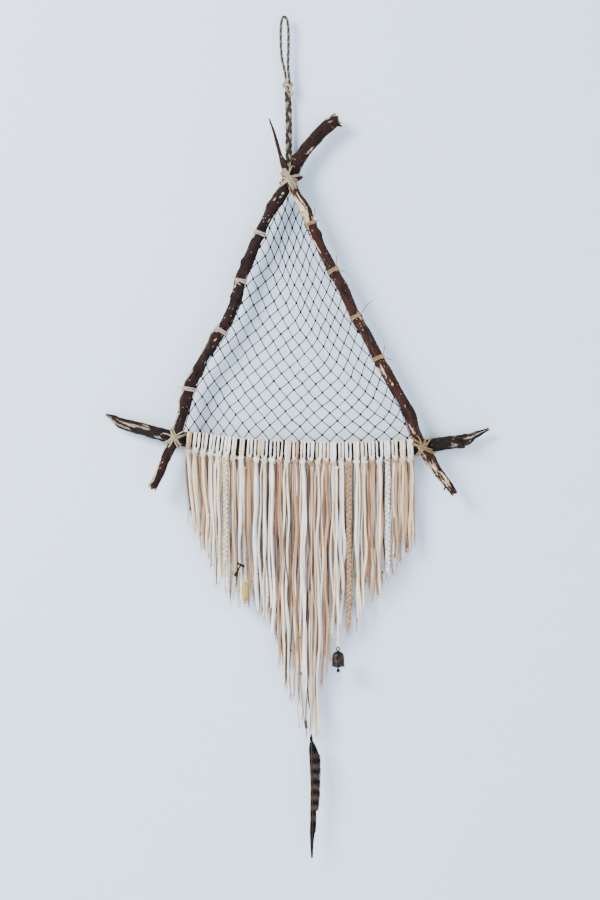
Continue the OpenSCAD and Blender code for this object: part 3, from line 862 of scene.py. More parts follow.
class HANGING_OT_pendant_cords(bpy.types.Operator):
    """Make the cords that carry the bell, the charm, the feather and the black bead"""
    bl_idname = "hanging.pendant_cords"
    bl_label = "Pendant cords"

    def execute(self, context):
        rows = (
            ("bell_strip", BELL_ROUTE, 3.0, "strip", "white", "cotton_strip", "bell_cord", "fringe_4"),
            ("charm_thread", CHARM_ROUTE, 1.2, "yarn", "linen", "grey_thread", "charm_cord", "fringe_2"),
            ("feather_yarn", FEATHER_ROUTE, 1.6, "yarn", "cream", "cotton_strip", "feather_cord", "fringe_3"),
            ("tube_bead_thread", TUBE_BEAD_ROUTE, 1.2, "yarn", "brown", "brown_thread", "tube_bead_cord", "fringe_3"),
        )
        for name, points, width, finish, tint, slot, node, body in rows:
            line = route(points, 1.6 * MM)
            rng = random.Random(name)
            skein = Skein()
            if finish == "strip":
                swell = rng.uniform(0, 9)

                def wide(t):
                    return width * MM * (0.86 + 0.3 * noise.noise(Vector((t * 9, swell, 0))))
                skein.strand(line, wide, dye(tint), width * 0.55 * MM, spin=lambda t: 2.6 * math.sin(4 * t))
            else:
                two_ply(skein, line, width * MM, (dye(tint), varied(rng, dye(tint), 0.2)), 3.4 * MM, sides=6)
            # a hitch round a strand of the fringe at the top
            ends = Skein()
            knot(ends, line[0] + mm(0, 1, 0), max(width, 2.2) * 1.7 * MM, dye(tint), rng)
            if finish == "strip":
                knot(ends, line[-1] + mm(0, 0, 3.2), 4.2 * MM, dye(tint), rng)
                fray(ends, line[-1] + mm(0.5, 0, 4.5), (RIGHT + DOWN * 0.3).normalized(), rng, dye(tint), 6, 7 * MM)
            hitches = weave(ends, name + "_hitches", finish, body, slot)
            cord = weave(skein, name, finish, body, slot, node)

        low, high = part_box("bead_cord")
        x, y = (low.x + high.x) / 2, (low.y + high.y) / 2
        line = evenly([Vector((x, y, high.z)), Vector((x, y, low.z + 1 * MM))], 1 * MM)
        skein = Skein()
        grey_thread = linear("#a89f92")
        two_ply(skein, line, 1.2 * MM, (grey_thread, varied(random.Random(5), grey_thread, 0.2)), 3.4 * MM, sides=6)
        thread = weave(skein, "bead_thread", "yarn", "bead", "grey_thread", "bead_cord")
        skein = Skein()
        knot(skein, line[-1], 3.2 * MM, grey_thread, random.Random(6))
        knot(skein, line[0], 2.4 * MM, grey_thread, random.Random(7))
        knots = weave(skein, "bead_thread_knots", "yarn", "bead", "grey_thread")
        return {"FINISHED"}


# ---------------------------------------------------------------- fringe

def strand_line(rng, root, offset, drop, drift, wander, gather):
    """A strand's route: out of the knot, down under its own weight, with slow wanders and small kinks.
    Gather is how much of its sideways place it has at the knot."""
    points = []
    # a short wave and a long one: wavelength in metres, phase and share
    waves = [(rng.uniform(shortest, longest), rng.uniform(0, math.tau), share)
             for shortest, longest, share in ((0.06, 0.11, 0.4), (0.13, 0.24, 1.0))]
    depth = rng.uniform(0, math.tau)
    count = max(5, int(drop / (9 * MM)))
    for k in range(count + 1):
        down = drop * k / count
        out = gather + (1 - gather) * smoothstep(0, 18 * MM, down)
        free = smoothstep(0, 90 * MM, down)
        wave = sum(share * math.sin(math.tau * down / long + phase) for long, phase, share in waves)
        x = offset.x * out + drift * smoothstep(0, 110 * MM, down) + wander * free * wave
        y = offset.y * out + 0.8 * MM * free * math.sin(down * 42 + depth)
        points.append(root + Vector((x, y, -down)))
    return smooth_line(points, 3.2 * MM)


def tear(skein, rng, line, width, thick, tint):
    """A torn strip along a line: rolled and turning, a little uneven, and thin at its end."""
    seed, total = rng.uniform(0, 90), length_of(line)
    roll = rng.uniform(-0.5, 0.5)

    def wide(t):
        uneven = 0.84 + 0.42 * noise.noise(Vector((seed, t * total / (34 * MM), 0)))
        return width * uneven * (1 - 0.55 * smoothstep(1 - 11 * MM / total, 1, t))

    def deep(t):
        return thick * (0.9 + 0.4 * noise.noise(Vector((t * total / (25 * MM), seed, 3))))

    def turn(t):
        return roll + 1.5 * noise.noise(Vector((seed, 7, t * total / (75 * MM))))

    skein.strand(line, wide, tint, deep, spin=turn)


class HANGING_OT_fringe(bpy.types.Operator):
    """Make the tassels: each has a leading strip, three more strands, a knot and frayed ends"""
    bl_idname = "hanging.fringe"
    bl_label = "Fringe"

    def execute(self, context):
        for i, kinds in enumerate(TASSELS):
            node = f"tassel_{i + 1:02d}"
            rng = random.Random(TASSEL_SEED + i)
            low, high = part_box(node)
            half = (high.y - low.y) / 2
            root = Vector(((low.x + high.x) / 2, (low.y + high.y) / 2, high.z - half))
            drop = root.z - low.z
            rest = Skein()
            lead = Skein()
            thin = [f"{rng.choice(FILLERS)} {rng.choice(('narrow', 'narrow', 'yarn'))}" for _ in range(4)]
            strands = list(kinds) + thin
            count = len(strands)
            # places across the tassel, and depths in it with the thin strands behind the others, in mm
            spread = [-4.4 + 8.8 * (k + 0.5) / count for k in range(count)]
            depths = [-2.9 + 6.2 * (k + 0.5) / count for k in range(count)]
            across = [spread.pop(count // 2)] + rng.sample(spread, count - 1)
            drift = max(0, 4 - i) * 1.9 * MM
            for k, kind in enumerate(strands):
                colour, form = kind.split()
                width, thick = (s * MM for s in FORMS[form])
                tint = varied(rng, dye(colour), 0.07)
                offset = mm(across[k] + rng.uniform(-0.5, 0.5), depths[k] + rng.uniform(-0.3, 0.3), 0)
                down = drop * (1.0 if k == 0 else rng.uniform(0.8, 1.03))
                if form == "plait":
                    down = PLAIT_DROPS[i] * MM
                    offset = mm(0, -5.2, 0)
                wander = (0.4 if form == "plait" else 1.6) * MM
                line = strand_line(rng, root, offset, down, drift, wander, 0.3 if k < len(kinds) else 0.85)
                if form == "plait":
                    shades = [dimmed(tint, share) for share in (1.05, 0.8, 0.95)]
                    plait(rest, line, width, thick, 17 * MM, shades, rng, 0.42)
                    knot(rest, line[-1], 5.0 * MM, tint, rng)
                    fray(rest, line[-1], DOWN, rng, tint, 14, 26 * MM, 3.5 * MM, width=0.8 * MM)
                    continue
                skein = lead if k == 0 else rest
                if form == "yarn":
                    rest.strand(line, lambda t: width * (1 - 0.3 * t), tint, sides=6, slot=1)
                else:
                    tear(skein, rng, line, width, thick, tint)
                heading = (line[-1] - line[-3]).normalized()
                fray(rest, line[-1], heading, rng, tint, rng.randint(3, 6), rng.uniform(6, 20) * MM)
                if rng.random() < 0.3:
                    place = line[int(len(line) * rng.uniform(0.75, 0.96))]
                    knot(rest, place, rng.uniform(3.2, 4.4) * MM, tint, rng)
                if k == 0:
                    lead_line, lead_width, lead_tint = line, width, tint
            knot(rest, root + mm(0, -0.6, 0), 7.4 * MM * rng.uniform(0.92, 1.08), lead_tint, rng)
            knot(rest, root + mm(rng.uniform(-1.2, 1.2), 0.8, -1.6), 6.0 * MM, varied(rng, lead_tint, 0.12), rng)

            strips = rest.piece(f"tassel_strips_{i + 1:02d}", material("strip"), material("yarn"))
            strip = lead.piece(f"tassel_lead_{i + 1:02d}", material("strip"))
            for obj in (strips, strip):
                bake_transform(obj)
            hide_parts(node)
        return {"FINISHED"}


class HANGING_OT_fringe_loops(bpy.types.Operator):
    """Make the strips that loop over the base stick above each tassel"""
    bl_idname = "hanging.fringe_loops"
    bl_label = "Loops over the base stick"

    def execute(self, context):
        skein = Skein()
        for i in range(len(TASSELS)):
            rng = random.Random(LOOP_SEED + i)
            low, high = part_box(f"tassel_{i + 1:02d}")
            root = Vector(((low.x + high.x) / 2, (low.y + high.y) / 2, high.z - (high.y - low.y) / 2))
            for side in (-1, 1):
                pale = rng.choice(("white", "white", "cool", "blush", "blush", "cream"))
                if i == 0 or rng.random() < 0.1:
                    pale = rng.choice(("tan", "linen"))
                tint = varied(rng, dye(pale), 0.05)
                shift = side * rng.uniform(1.3, 2.7) * MM
                centre, radius, along, _ = BASE.near(root + Vector((shift, 0, 14 * MM)))
                centre = centre + along * (root + RIGHT * shift - centre).dot(along)
                up = (UP - along * UP.dot(along)).normalized()
                # round the stick and the net's edge together
                edge = (centre.y - middle("net").y, radius + 0.5 * MM, 0.5 * MM, 0.5 * MM)
                places = []
                for u, v in taut([(0, 0, radius, radius), edge], CLEAR + 0.85 * MM):
                    a = math.degrees(math.atan2(v, u)) % 360
                    places.append((a - 360 if a > 270 else a, centre + FRONT * u + up * v))
                places = [place for a, place in sorted(places, key=lambda row: row[0]) if -48 < a < 226]
                skew = rng.uniform(-0.8, 0.8) * MM
                line = [root + mm(side * 0.6, -0.9, 0.8)]
                places = evenly(places, 1.7 * MM)
                line += [place + along * skew * (k / len(places) - 0.5) for k, place in enumerate(places)]
                line.append(root + mm(side * 0.6, 1.6, 0.8))
                line = smooth_line(line, 1.7 * MM)
                width = rng.uniform(2.3, 4.3) * MM
                seed = rng.uniform(0, 50)
                skein.strand(line, lambda t: width * (0.92 + 0.3 * noise.noise(Vector((seed, t * 6, 0)))), tint,
                             1.25 * MM, across=along)
        weave(skein, "fringe_loops", "strip", "frame", "cotton_strip", "tassel_loops")
        return {"FINISHED"}


# ---------------------------------------------------------------- sticks

# Where bark has peeled to pale bare wood: share of the stick, degrees round it (0 right, -90 front, 180 left),
# half length in mm, half width in degrees, and strength. Most lie on the sides that face the lights, so the pale wood
# there is partly peeled bark and partly a painted highlight.
PEELS_AND_LIT_SIDES = {
    "left_stick": ((0.05, -162, 46, 52, 1.1), (0.98, -100, 9, 90, 0.5), (0.22, -172, 46, 30, 0.95),
                   (0.62, -150, 9, 40, 0.45), (0.52, 180, 8, 40, 0.4), (0.40, 180, 8, 50, 0.35)),
    "right_stick": ((0.04, -100, 24, 70, 0.85), (0.12, -150, 30, 50, 0.7), (0.33, -110, 16, 45, 0.5),
                    (0.66, 180, 24, 40, 0.5), (0.78, -135, 28, 66, 1.2), (0.50, 180, 20, 30, 0.35)),
    "base_stick": ((0.02, -60, 18, 80, 0.7), (0.075, -95, 9, 34, 0.9), (0.112, -120, 7, 30, 0.9),
                   (0.145, -70, 6, 34, 0.8), (0.97, -100, 18, 50, 0.5), (0.90, -40, 8, 40, 0.4)),
}
# Swellings left by buds and twigs: share of the stick, degrees round it, height in mm and half length in mm
BUDS = {
    "left_stick": ((0.13, 0, 1.6, 7), (0.22, 180, 1.2, 6), (0.30, 0, 2.0, 9), (0.39, 180, 1.0, 6),
                   (0.50, 180, 1.8, 8), (0.585, 180, 1.6, 5), (0.66, 0, 1.4, 6), (0.73, 180, 1.5, 7),
                   (0.80, 180, 1.2, 6), (0.865, 175, 1.9, 3)),
    "right_stick": ((0.10, 0, 1.4, 7), (0.22, 0, 1.0, 8), (0.36, 180, 0.9, 6), (0.48, 0, 1.0, 6),
                    (0.60, 180, 1.0, 6), (0.70, 0, 1.5, 6), (0.76, 180, 0.9, 5)),
    "base_stick": ((0.07, 90, 1.0, 7), (0.16, -90, 0.9, 8), (0.86, 90, 1.2, 6), (0.91, -90, 1.4, 7),
                   (0.95, 90, 0.9, 5)),
}
# Broken twigs: share of the stick, degrees round it, and length, thickness at the root and lean towards its end
# in mm
TWIGS = {
    "left_stick": ((0.818, -20, 9, 3.2, 6), (0.812, 16, 7, 2.8, 10), (0.792, 172, 5, 3.4, 1),
                   (0.992, 150, 4.5, 2.6, 5), (0.992, -12, 6, 2.8, 4), (0.575, 165, 4, 2.4, 5)),
    "right_stick": ((0.715, 5, 4, 2.6, 9), (0.03, 170, 5, 2.2, -3)),
    "base_stick": ((0.912, -25, 2.4, 7.0, 9), (0.925, -80, 6, 3.0, 10), (0.865, 170, 3, 2.4, 2)),
}


def mound(share, where, total, half_long, a, turn, half_turn):
    """1 at a spot on a stick, falling off along it and round it. Lengths are in mm and angles in degrees."""
    off = (math.degrees(a) - turn + 180) % 360 - 180
    return math.exp(-((share - where) * total / (half_long * MM)) ** 2 - (off / half_turn) ** 2)


def stick_skin(skein, peel_and_lit_side_marks, stick, seed, jag):
    """The bark of a stick: rings along its axis, with lumps, ridges, peeled hollows, buds and broken ends."""
    sides, last = 44, len(stick.line) - 1
    total = length_of(stick.line)
    start = len(skein.verts)
    rings = list(carried(stick.line, BACK.cross(stick.along)))
    for i, (head, side, deep) in enumerate(rings):
        s, r = total * i / last, stick.radii[i]
        share, thin = i / last, min(1.0, r / (5 * MM))
        for j in range(sides):
            a = math.tau * j / sides
            ca, sa = math.cos(a), math.sin(a)
            lump = noise.noise(Vector((ca * 0.9 + seed, sa * 0.9, s * 34)))
            ridge = noise.noise(Vector((ca * 3.0, sa * 3.0 + seed, s * 75)))
            fine = noise.noise(Vector((ca * 6.5, sa * 6.5 - seed, s * 300)))
            # pale bare wood: flakes of peeled bark, and the listed patches, most of which are a painted highlight on
            # the sides that face the light
            bias = 0.0
            for where, turn, half_long, half_turn, strength in PEELS_AND_LIT_SIDES[stick.node]:
                bias += strength * mound(share, where, total, half_long, a, turn, half_turn)
            flake = noise.noise(Vector((ca * 2.2 - seed, sa * 2.2, s * 60))) + 0.4 * fine
            peel = smoothstep(0.0, 0.16, flake + bias - 0.6)
            grow = r * (1 + 0.12 * lump) + thin * (1.0 * ridge + 0.5 * fine - 0.6 * peel) * MM
            for where, turn, height, half_long in BUDS[stick.node]:
                grow += 1.5 * height * MM * mound(share, where, total, half_long, a, turn, 42)
            near_end = min(s, total - s)
            out = (noise.noise(Vector((ca * 2.4, sa * 2.4, seed + share * 9))) + 0.1) * jag * MM * thin
            out *= (1 - smoothstep(0, 9 * MM, near_end)) * (1 if share > 0.5 else -1)
            skein.verts.append(stick.line[i] + (side * ca + deep * sa) * grow + head * out)
            peel_and_lit_side_marks.append(max(peel, 1 - smoothstep(0, 1.6 * MM, near_end)))
    for i in range(last):
        here, there = start + i * sides, start + (i + 1) * sides
        for j in range(sides):
            k = (j + 1) % sides
            skein.face([here + j, here + k, there + k, there + j], [(0, 0)] * 4, 0)
    for ring, inward in ((0, rings[0][0]), (last, -rings[-1][0])):
        rim = start + ring * sides
        hub = sum((skein.verts[rim + j] for j in range(sides)), Vector()) / sides
        inner = len(skein.verts)
        for j in range(sides):
            rough = noise.noise(skein.verts[rim + j] * 900) + 0.7
            skein.verts.append(hub.lerp(skein.verts[rim + j], 0.55) + inward * rough * 1.6 * MM)
            peel_and_lit_side_marks.append(1.0)
        skein.verts.append(hub + inward * 0.8 * MM)
        peel_and_lit_side_marks.append(0.6)
        for j in range(sides):
            k = (j + 1) % sides
            ends = ([rim + j, inner + j, inner + k, rim + k], [inner + j, inner + sides, inner + k])
            for corners in ends:
                flip = corners if ring == 0 else corners[::-1]
                skein.face(flip, [(0, 0)] * len(corners), 0)


def twig(skein, peel_and_lit_side_marks, stick, share, turn, reach, thick, lean):
    """A short broken twig that grows out of a stick."""
    i = int(share * (len(stick.line) - 1))
    head, side, deep = list(carried(stick.line, BACK.cross(stick.along)))[i]
    a = math.radians(turn)
    out = side * math.cos(a) + deep * math.sin(a)
    root = stick.line[i] + out * stick.radii[i] * 0.7
    tip = root + out * reach * MM + head * lean * MM
    line = evenly([root, tip], 0.8 * MM)
    before = len(skein.verts)
    skein.strand(line, lambda t: thick * MM * (1.2 - 0.4 * t), grey(1.0), sides=9)
    for k in range(before, len(skein.verts)):
        skein.verts[k] += noise.noise_vector(skein.verts[k] * 700) * 0.35 * MM
        peel_and_lit_side_marks.append(smoothstep(0.86, 1.0, (k - before) / (len(skein.verts) - before)))


class HANGING_OT_sticks(bpy.types.Operator):
    """Make the three sticks, with their bark, buds, twigs and broken ends"""
    bl_idname = "hanging.sticks"
    bl_label = "Sticks"

    def execute(self, context):
        rows = (
            ("left_branch", LEFT, "left_bark", 11.0, 5.0),
            ("right_branch", RIGHT_STICK, "right_bark", 23.0, 4.0),
            ("base_branch", BASE, "base_bark", 37.0, 7.0),
        )
        for name, stick, finish, seed, jag in rows:
            skein, peel_and_lit_side_marks = Skein(), []
            stick_skin(skein, peel_and_lit_side_marks, stick, seed, jag)
            skein.tints = [grey(1.0)] * len(skein.verts)
            for row in TWIGS[stick.node]:
                twig(skein, peel_and_lit_side_marks, stick, *row)
            obj = skein.piece(name, material(finish))
            obj.data.attributes.new("peel", "FLOAT", "POINT").data.foreach_set("value", peel_and_lit_side_marks)
            settle(obj, "frame", finish, stick.node)
        return {"FINISHED"}


# ---------------------------------------------------------------- net

# Thickness of the room that the net's edge cord has beside the sticks
EDGE_CORD = 1.4 * MM
# Threads each way from the foot of the net, before they are cut off at its edge
NET_REACH = range(-16, 34)


class Outline:
    """The net's edge: beside each side stick, and over the top of the base stick."""

    def __init__(self, thick):
        self.y = middle("net").y
        self.left = self.beside(LEFT, RIGHT, thick)
        self.right = self.beside(RIGHT_STICK, -RIGHT, thick)
        self.foot = [Vector((p.x, self.y, p.z + r + 0.5 * MM)) for p, r in zip(BASE.line, BASE.radii)]

    def beside(self, stick, inward, thick):
        """Points along a stick, just clear of its side, in the plane of the net."""
        out = []
        across = BACK.cross(stick.along).normalized()
        across = across if across.dot(inward) > 0 else -across
        for point, r in zip(stick.line, stick.radii):
            reach, deep = r * 1.04 + CLEAR + thick / 2, point.y - self.y
            place = point + across * math.sqrt(max(reach ** 2 - deep ** 2, 0))
            out.append(Vector((place.x, self.y, place.z)))
        return out

    @staticmethod
    def read(points, key, value, place):
        """Where a line of points is, by interpolation: its value at a place along its key."""
        i = min(range(1, len(points)), key=lambda k: abs((points[k][key] + points[k - 1][key]) / 2 - place))
        a, b = points[i - 1], points[i]
        return a[value] + (b[value] - a[value]) * (place - a[key]) / (b[key] - a[key])

    def left_x(self, z):
        return self.read(self.left, 2, 0, z)

    def right_x(self, z):
        return self.read(self.right, 2, 0, z)

    def foot_z(self, x):
        return self.read(self.foot, 0, 2, x)

    def holds(self, p):
        within = LEFT_CORNER.x < p.x < RIGHT_CORNER.x and p.z < APEX.z - 10 * MM
        return within and self.foot_z(p.x) < p.z and self.left_x(p.z) < p.x < self.right_x(p.z)

    def crossing(self, inner, outer):
        """Where the thread from a point inside to one outside meets the edge."""
        a, b = inner.copy(), outer.copy()
        for _ in range(14):
            half = (a + b) / 2
            if self.holds(half):
                a = half
            else:
                b = half
        return (a + b) / 2

    def loop(self):
        """The whole edge as a closed line of points."""
        def corner(x_at, x):
            for _ in range(8):
                z = self.foot_z(x)
                x = x_at(z)
            return x, z
        left, left_foot = corner(self.left_x, LEFT_CORNER.x + 8 * MM)
        right, right_foot = corner(self.right_x, RIGHT_CORNER.x - 8 * MM)
        top = next(p.z for p in self.left if p.z > left_foot and self.right_x(p.z) - p.x < 3 * MM)
        up = [p for p in self.left if left_foot < p.z < top]
        down = [p for p in reversed(self.right) if right_foot < p.z < top]
        back = [p for p in reversed(self.foot) if left < p.x < right]
        return evenly(up + down + back + up[:1], 2.5 * MM)[:-1]


def slope_left(i):
    """Slope in radians of a bar of the threads that run up to the left: steeper towards the top."""
    return math.radians(min(max(45 + 1.7 * i, 38), 67))


def slope_right(j):
    """Slope of a bar of those that run up to the right: even, and pulled steep at the upper right and lower left."""
    return math.radians(42 + 28 * smoothstep(5.5, 8.5, j) + 12 * smoothstep(3.0, 5.0, -j))


def net_lattice(edge, bar, rng):
    """A net of equal bars, so that each mesh is a rhombus: its points and its threads, cut off at the edge."""
    runs = []
    for slope, way in ((slope_left, -1), (slope_right, 1)):
        walked = {0: Vector()}
        for k in range(NET_REACH.stop):
            walked[k + 1] = walked[k] + Vector((way * math.cos(slope(k)), 0, math.sin(slope(k)))) * bar
        for k in range(0, NET_REACH.start, -1):
            walked[k - 1] = walked[k] - Vector((way * math.cos(slope(k - 1)), 0, math.sin(slope(k - 1)))) * bar
        runs.append(walked)
    start = Vector((LEFT_CORNER.lerp(RIGHT_CORNER, 0.5).x, edge.y, edge.foot_z(0) + 1 * MM))
    places = {(i, j): start + runs[0][i] + runs[1][j] for i in NET_REACH for j in NET_REACH}
    points, threads, number = [], [], {}
    for key, place in places.items():
        if edge.holds(place):
            number[key] = len(points)
            points.append(place + mm(rng.uniform(-0.8, 0.8), rng.uniform(-0.4, 0.4), rng.uniform(-0.8, 0.8)))
    ends = len(points)
    for (i, j), place in places.items():
        for there in ((i + 1, j), (i, j + 1)):
            inside = [key for key in ((i, j), there) if key in number]
            if there not in places or not inside:
                continue
            if len(inside) == 2:
                threads.append((number[i, j], number[there]))
            else:
                other = there if inside[0] == (i, j) else (i, j)
                threads.append((number[inside[0]], len(points)))
                points.append(edge.crossing(places[inside[0]], places[other]))
    return points, threads, ends


def bead_of_thread(skein, centre, size, tint):
    """The small hard knot where net threads meet."""
    line = [centre + UP * size * s for s in (-0.55, -0.3, 0.0, 0.3, 0.55)]
    skein.strand(line, lambda t: size * math.sqrt(max(0.12, 1 - (2 * t - 1) ** 2)), tint, sides=6)


class HANGING_OT_net(bpy.types.Operator):
    """Make the knotted net and the cord along its edge"""
    bl_idname = "hanging.net"
    bl_label = "Net and its edge"

    def execute(self, context):
        rng = random.Random(17)
        tint = hue("net")
        thread, knot_size, bar = sizes().net_thread, sizes().net_knot, sizes().net_bar
        edge = Outline(EDGE_CORD)
        points, threads, ends = net_lattice(edge, bar, rng)
        skein = Skein()
        for a, b in threads:
            sag = mm(rng.uniform(-0.35, 0.35), rng.uniform(-0.4, 0.2), rng.uniform(-0.5, 0.1))
            line = [points[a].lerp(points[b], t) + sag * (4 * t * (1 - t)) for t in QUARTERS]
            skein.strand(line, thread * rng.uniform(0.85, 1.15), tint, sides=5)
        for k, point in enumerate(points):
            bead_of_thread(skein, point, knot_size * (rng.uniform(0.85, 1.1) if k < ends else 0.72), tint)
        weave(skein, "knotted_net", "net", "frame", "net_thread", "net")

        skein = Skein()
        line = edge.loop()
        line = [p + mm(0.15 * math.sin(i * 0.9), 0.2 * math.sin(i * 0.53), 0.15 * math.cos(i * 0.9))
                for i, p in enumerate(line)]
        skein.strand(line, 1.0 * MM, tint, sides=7, across=BACK, closed=True)
        weave(skein, "net_edge_cord", "net", "frame", "net_thread", "net_border")
        return {"FINISHED"}


# ---------------------------------------------------------------- lashings and ties

# The lashing of each crossing: its two sticks, the slopes of its turns in degrees (halfway between the sticks),
# how many turns run each way, the twine's colour, and the tails: (right, up, curl) in mm
LASHINGS = {
    "apex_lashing": ("left", "right", (24, -27, -56), 3, "#b7a281",
                     ((9, -10, 2), (-8, 6, -2), (3, 17, 1), (6, 13, -1))),
    "left_corner_lashing": ("left", "base", (28, 118), 3, "#bfaa87", ((-12, 4, 3), (10, -9, -2), (-5, -12, 2))),
    "right_corner_lashing": ("right", "base", (60, 150), 3, "#9a7e57", ((11, 9, 3), (12, -4, -3), (-6, 12, 2))),
}
# The tails of each tie, from the top down: (right, up) of each tail's end in mm, from its knot
LEFT_TAILS = (((-8, 6), (-5, -7)), ((-6, 3), (4, -6)), ((-8, -3), (3, 7)), ((-9, 2), (-4, -8)))
RIGHT_TAILS = (((2.9, 17), (7, 2)), ((0.5, 16), (11, -3)), ((15, 17), (8, -6)), ((3.5, 13), (13.4, -4)))


def taut(circles, reach):
    """The tight loop round some ellipses in a plane: (across, deep, half width, half depth) for each."""
    points = []
    for u, v, half_u, half_v in circles:
        for k in range(32):
            a = math.tau * k / 32
            points.append((u + (half_u + reach) * math.cos(a), v + (half_v + reach) * math.sin(a)))
    points.sort()
    sides = []
    for run in (points, points[::-1]):
        chain = []
        for p in run:
            while len(chain) > 1 and ((chain[-1][0] - chain[-2][0]) * (p[1] - chain[-2][1])
                                      - (chain[-1][1] - chain[-2][1]) * (p[0] - chain[-2][0])) <= 0:
                chain.pop()
            chain.append(p)
        sides += chain[:-1]
    return sides


def turn_round(pieces, way, shift, reach, step=1.6 * MM):
    """One closed turn of twine round some sticks, in the plane of a slope and the depth, shifted sideways.
    Pieces are (centre, radius, heading)."""
    side = BACK.cross(way)
    middle_point = sum((c for c, _, _ in pieces), Vector()) / len(pieces)
    circles = []
    for centre, radius, head in pieces:
        slip = side.dot(head)
        off = (shift - side.dot(centre - middle_point)) / slip if abs(slip) > 0.2 else 0
        at_plane = centre + head * off
        half = radius / max(abs(slip), 0.45)
        circles.append((way.dot(at_plane - middle_point), at_plane.y - middle_point.y, half, radius))
    flat = taut(circles, reach)
    line = [middle_point + way * u + BACK * v + side * shift for u, v in flat]
    return evenly(line + line[:1], step)[:-1]


def tail(skein, root, right, up, curl, width, tint, rng):
    """A loose end of twine that ends in a tuft."""
    line = smooth_line([root, root + mm(right * 0.4 + curl * 0.6, -1.8, up * 0.35),
                        root + mm(right * 0.75 + curl * 0.5, -1.4, up * 0.8), root + mm(right, -0.6, up)], 1.2 * MM)
    skein.strand(line, lambda t: width * (1 - 0.25 * t), tint, sides=7)
    fray(skein, line[-1], (line[-1] - line[-3]).normalized(), rng, tint, 4, 4 * MM, 1.2 * MM, 0.28 * MM)


def fuzz(skein, line, rng, tint, count, reach):
    """Short stray fibres that stand off a turn of twine."""
    for _ in range(count):
        root = line[rng.randrange(len(line))]
        out = Vector((rng.uniform(-1, 1), rng.uniform(-1, 0.1), rng.uniform(-1, 1))).normalized()
        out = out * reach * rng.uniform(0.4, 1)
        bend = Vector((rng.uniform(-1, 1), 0, rng.uniform(-1, 1))) * reach * 0.4
        skein.strand([root, root + out * 0.5 + bend * 0.25, root + out + bend], 0.16 * MM, tint, sides=3)


class HANGING_OT_lashings(bpy.types.Operator):
    """Lash the three crossings with turns of twine each way, with loose tails"""
    bl_idname = "hanging.lashings"
    bl_label = "Lashings"

    def execute(self, context):
        sticks = {"left": LEFT, "right": RIGHT_STICK, "base": BASE}
        width = sizes().twine
        for node, (first, second, slopes, count, colour, tails) in LASHINGS.items():
            rng = random.Random(node)
            cross = middle(node)
            pieces = [sticks[name].near(Vector((cross.x, 0, cross.z)))[:3] for name in (first, second)]
            skein = Skein()
            light = linear(colour)
            for layer, slope in enumerate(slopes):
                for k in range(count):
                    a = math.radians(slope + rng.uniform(-8, 8))
                    way = RIGHT * math.cos(a) + UP * math.sin(a)
                    shift = (k - (count - 1) / 2) * width * 1.02
                    reach = CLEAR + width / 2 + layer * width * 0.75
                    line = turn_round(pieces, way, shift, reach)
                    tint = varied(rng, light, 0.25)
                    skein.strand(line, width, tint, sides=8, across=BACK.cross(way), closed=True)
                    fuzz(skein, line, rng, tint, 26, 3.2 * MM)
            front = min(p.y - r for p, r, _ in pieces) - width * 1.6
            centre = Vector((cross.x, front, cross.z))
            knot(skein, centre + mm(-2, 0, 1.5), 5.2 * MM, light, rng)
            for right, up, curl in tails:
                tail(skein, centre + mm(-2, 0, 1.5), right, up, curl, width * 0.9, varied(rng, light, 0.15), rng)
            weave(skein, node + "_twine", "jute", "frame", "jute_twine", node)
        return {"FINISHED"}


class HANGING_OT_ties(bpy.types.Operator):
    """Tie the net's edge to the side sticks with short lengths of twine"""
    bl_idname = "hanging.ties"
    bl_label = "Ties of the net"

    def execute(self, context):
        edge = Outline(EDGE_CORD)
        width = sizes().tie_twine
        rows = (
            ("left_ties", LEFT, LEFT_CORNER, LEFT_TIES, LEFT_TAILS, edge.left_x, "#cfb8a5"),
            ("right_ties", RIGHT_STICK, RIGHT_CORNER, RIGHT_TIES, RIGHT_TAILS, edge.right_x, "#a3875f"),
        )
        for node, stick, corner, shares, tails, edge_x, colour in rows:
            rng = random.Random(node)
            skein = Skein()
            for share, ends in zip(shares, reversed(tails)):
                centre, radius, head, _ = stick.near(corner.lerp(APEX, share))
                way = BACK.cross(head).normalized()
                beside = Vector((edge_x(centre.z), edge.y, centre.z))
                tint = varied(rng, linear(colour), 0.1)
                for shift in (-1.0, 0.35, 1.5):
                    a = rng.uniform(-0.12, 0.12)
                    slope = (way + UP * a).normalized()
                    pieces = [(centre, radius, head), (beside, 0.7 * MM, head)]
                    line = turn_round(pieces, slope, shift * width, CLEAR + width / 2, 1.2 * MM)
                    skein.strand(line, width, varied(rng, tint, 0.1), sides=7, across=head, closed=True)
                    fuzz(skein, line, rng, tint, 8, 2.2 * MM)
                outer = way if way.dot(centre - beside) > 0 else -way
                place = centre + outer * radius * 0.55 + FRONT * (radius * 0.95 + width)
                knot(skein, place, 4.2 * MM, tint, rng)
                for right, up in ends:
                    tail(skein, place, right, up, rng.uniform(-2, 2), width, varied(rng, tint, 0.15), rng)
            weave(skein, node + "_twine", "jute", "frame", "jute_twine", node)
        return {"FINISHED"}


# ---------------------------------------------------------------- bell, charm and beads

def keep(node, finish):
    """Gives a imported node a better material."""
    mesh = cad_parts[node].data
    mesh.materials.clear()
    mesh.materials.append(material(finish))


